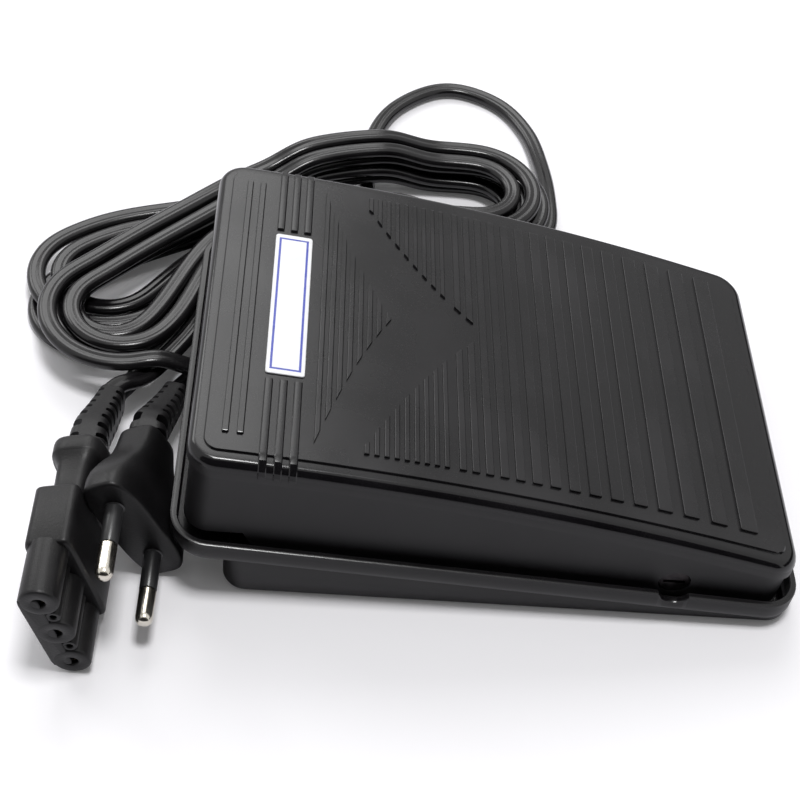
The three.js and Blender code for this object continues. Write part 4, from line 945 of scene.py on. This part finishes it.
board_holes = [(x, y) for x in (-32, 22) for y in (-30, 6)]
foot_places = [(x, y) for x in (-48, 55) for y in (-38, 38)]
boss_inside = skirt_half - 3
bracket_outside, bracket_inside = boss_inside - 0.3, boss_inside - 3.7
exit_x, exit_y, clamp_reach = -53.5, 10.5, 6
spring_x, spring_y, spring_post = -42.5, 22.5, 5.6
stop_y, stop_top = 30, 11
pan_rib_places, rib_thickness = (-24, 0, 24), 1.4
foot_low, post_low = 1.4, 1.5
tray_fittings = [upright(x, y, 3.4, foot_low, 6) for x, y in board_holes]
tray_fittings += [upright(x, y, 7.1, foot_low, 3.8) for x, y in foot_places]
tray_fittings += [upright(exit_x, exit_y + side * clamp_reach, 2.6, post_low, 8.5) for side in (-1, 1)]
tray_fittings += [
    block(34, 66, y - rib_thickness / 2, y + rib_thickness / 2, post_low, 4.5) for y in pan_rib_places
]
for side in (-1, 1):
    y0, y1 = sorted((side * bracket_outside, side * bracket_inside))
    stop_from, stop_to = side * stop_y - 3, side * stop_y + 3
    tray_fittings += [
        block(38, 48, y0, y1, post_low, 12), turned([(0, y0), (5, y0), (5, y1), (0, y1)], pivot_x, pivot_z),
        block(-50.6, -47.6, stop_from, stop_to, post_low, stop_top),
        block(-53.2, -49.6, stop_from, stop_to, 8.8, stop_top),
        upright(spring_x, side * spring_y, spring_post, post_low, 10),
    ]
fittings = piece("tray_fittings", tray_fittings, cover_look, "tray")

# ---- Fittings moulded in the cover ----
# Bosses round the hinge screws, spring posts, the two hooks that the tray's stops hold, the rib that
# presses the control's stem, and three stiffening ribs under the plate.
cover_fittings = []
for side in (-1, 1):
    y0, y1 = sorted((side * boss_inside, side * (skirt_half - 1.8)))
    hook_from, hook_to = side * stop_y - 2, side * stop_y + 2
    cover_fittings += [
        ring_turned([(2.4, y0), (6.5, y0), (6.5, y1), (2.4, y1)], pivot_x, pivot_z, 36),
        block(-57.5, -54.9, hook_from, hook_to, 6, 42), block(-55.9, -52.4, hook_from, hook_to, 6, 8.5),
        upright(spring_x, side * spring_y, spring_post, 26, 39.5),
    ]
cover_fittings.append(block(-52.5, -47.5, -11.2, -3.2, 28, 41.5))
for x in (-20, 10, 35):
    top = float(plate_top(x)) - plate_wall
    cover_fittings.append(block(x - rib_thickness / 2, x + rib_thickness / 2, -46.7, 46.7, top - 3, top + 1))
underside = piece("cover_fittings", cover_fittings, cover_look, "cover")


# ---- Bought-in and fitted pieces ----
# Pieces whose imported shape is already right: they get their finish only.
def finish(look_for, *names):
    """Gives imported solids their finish."""
    for name in names:
        nodes[name].data.materials.clear()
        nodes[name].data.materials.append(look_for)


steel_look = look("zinc_steel", (0.5, 0.5, 0.49), (0.62, 0.62, 0.6), 0.32, metal=1.0, grain=2500, patches=200,
                  rub=0.2, dust=0.05, bump=0.06)
# The hinge screws' steel is painted nearly black, as painted shade for the round recesses that their heads
# sit in.
shaded_screw_steel_look = look("screw_steel_painted_shade", (0.03, 0.028, 0.03), (0.07, 0.062, 0.065), 0.35, metal=1.0,
                       grain=2500, patches=400, rub=0.3, dust=0.1, bump=0.1)
rubber_look = look("foot_rubber", (0.014, 0.014, 0.014), (0.024, 0.023, 0.022), 0.75, grain=1400,
                   patches=90, rub=0.2, dust=0.4, bump=0.5)
# The contacts' brass is painted far darker than brass, as painted shade for the depth of the connector's
# bores.
shaded_brass_look = look("contact_brass_painted_shade", (0.09, 0.07, 0.05), (0.16, 0.12, 0.08), 0.45, metal=1.0, grain=2500,
                  bump=0.05)
finish(shaded_screw_steel_look, "pivot_screw_near", "pivot_screw_far")
finish(steel_look, *[f"board_screw_{i}" for i in range(1, 5)], "clamp_screw_1", "clamp_screw_2")
finish(rubber_look, *[f"rubber_foot_{i}" for i in range(1, 5)], "lead_gland")
finish(shaded_brass_look, *[f"connector_contact_{i}" for i in range(1, 4)])
finish(look("board_laminate", (0.19, 0.12, 0.04), (0.27, 0.18, 0.07), 0.5, patches=150, bump=0.1),
       "circuit_board")
finish(look("sink_aluminium", (0.4, 0.4, 0.41), (0.52, 0.52, 0.53), 0.42, metal=1.0, bump=0.15), "heat_sink")
finish(look("dark_nylon", (0.015, 0.015, 0.016), (0.025, 0.024, 0.025), 0.5, bump=0.1), "power_transistor",
       "speed_control", "lead_clamp")
finish(look("film_amber", (0.42, 0.2, 0.03), (0.55, 0.29, 0.06), 0.4, bump=0.05), "capacitor")
finish(look("wound_copper", (0.45, 0.16, 0.06), (0.6, 0.25, 0.1), 0.35, metal=1.0, grain=900, bump=0.3),
       "choke")
finish(look("terminal_green", (0.03, 0.2, 0.07), (0.05, 0.28, 0.1), 0.45, bump=0.08), "terminal_block")
finish(look("stem_acetal", (0.7, 0.69, 0.64), (0.8, 0.79, 0.75), 0.4, bump=0.05), "control_stem")


# ---- Return springs ----
# Two coils of zinc-plated wire that stand on the seats in the tray and hold the tread up.
coil_radius, wire, coil_turns, coil_bottom, coil_top = 4.4, 1.1, 6, 10.3, 25.7
coil_angle = np.linspace(0, 2 * np.pi * coil_turns, 24 * coil_turns + 1)
coil_rise = coil_bottom + wire / 2 + (coil_top - coil_bottom - wire) * coil_angle / coil_angle[-1]
around_wire = 2 * np.pi * np.arange(10) / 10
wire_section = np.stack([np.cos(around_wire), np.sin(around_wire)], axis=1) * wire / 2
for side, coil_y in [("near", -spring_y), ("far", spring_y)]:
    helix = np.stack([
        spring_x + coil_radius * np.cos(coil_angle), coil_y + coil_radius * np.sin(coil_angle), coil_rise,
    ], axis=1)
    spring = piece(f"coil_{side}", [closed(carried(helix, wire_section))], steel_look, "tray", smooth=50)
    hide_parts(f"return_spring_{side}")
    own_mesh(spring)


# ---- Floor, light and view ----
# A sheet of white paper that takes the shadow, three soft lamps, two black cloths for the gloss to
# mirror, and an even white room.
floor_mesh = bpy.data.meshes.new("floor")
floor_mesh.from_pydata([(-3, -3, 0), (3, -3, 0), (3, 3, 0), (-3, 3, 0)], [], [(0, 1, 2, 3)])
floor = in_scene("floor", floor_mesh)
floor_look, tree, paper = new_material("floor_paper")
viewed = add(tree, "ShaderNodeLightPath").outputs["Is Camera Ray"]
tree.links.new(mixed(tree, viewed, (0.85, 0.84, 0.88), (0.98, 0.97, 1)), paper.inputs["Base Color"])
tree.links.new(mixed(tree, viewed, (0, 0, 0), (0.06, 0.06, 0.06)), paper.inputs["Emission Color"])
paper.inputs["Emission Strength"].default_value = 1
paper.inputs["Roughness"].default_value = 0.7
floor_mesh.materials.append(floor_look)


def softbox(name, place, target, size, power):
    """A square lamp at a place, turned to face a target."""
    lamp = in_scene(name, bpy.data.lights.new(name, "AREA"))
    lamp.data.size = size
    lamp.data.energy = power
    lamp.location = place
    lamp.rotation_euler = (Vector(target) - Vector(place)).to_track_quat("-Z", "Y").to_euler()


softbox("overhead_softbox", (0.0, -0.05, 1.0), (0, 0, 0), 0.22, 5.5)
softbox("back_softbox", (-0.2, 1.0, 1.15), (0, 0, 0), 0.8, 7)
softbox("window_softbox", (-1.0, 0.8, 0.8), (0, 0, 0), 0.6, 4)
flag_look, _, flag_shader = new_material("flag_cloth")
flag_shader.inputs["Base Color"].default_value = (0.02, 0.02, 0.02, 1)
flag_shader.inputs["Roughness"].default_value = 1


def flag(name, start, end, height):
    """An upright black cloth on the floor from one place to another, out of view, for the gloss to mirror."""
    mesh = bpy.data.meshes.new(name)
    mesh.from_pydata([(*start, 0), (*end, 0), (*end, height), (*start, height)], [], [(0, 1, 2, 3)])
    mesh.materials.append(flag_look)
    cloth = in_scene(name, mesh)
    cloth.visible_camera = False


flag("camera_flag", (-1.8, -1.2), (1.8, -1.2), 2.2)
flag("heel_flag", (1.5, -0.6), (0.5, 1.6), 0.35)
world = bpy.data.worlds.new("room")
bpy.context.scene.world = world
world.use_nodes = True
tree = world.node_tree
background = tree.nodes["Background"]
ray = add(tree, "ShaderNodeLightPath").outputs
clear = maths(tree, "MAXIMUM", ray["Is Camera Ray"], ray["Is Transmission Ray"])
room_light, room_mirrored = 0.36, 0.8
room = ranged(tree, ray["Is Glossy Ray"], 0, 1, room_light, room_mirrored)
background.inputs["Color"].default_value = (1, 1, 1, 1)
tree.links.new(maths(tree, "MAXIMUM", room, clear), background.inputs["Strength"])
bpy.context.scene.view_settings.view_transform = "Standard"
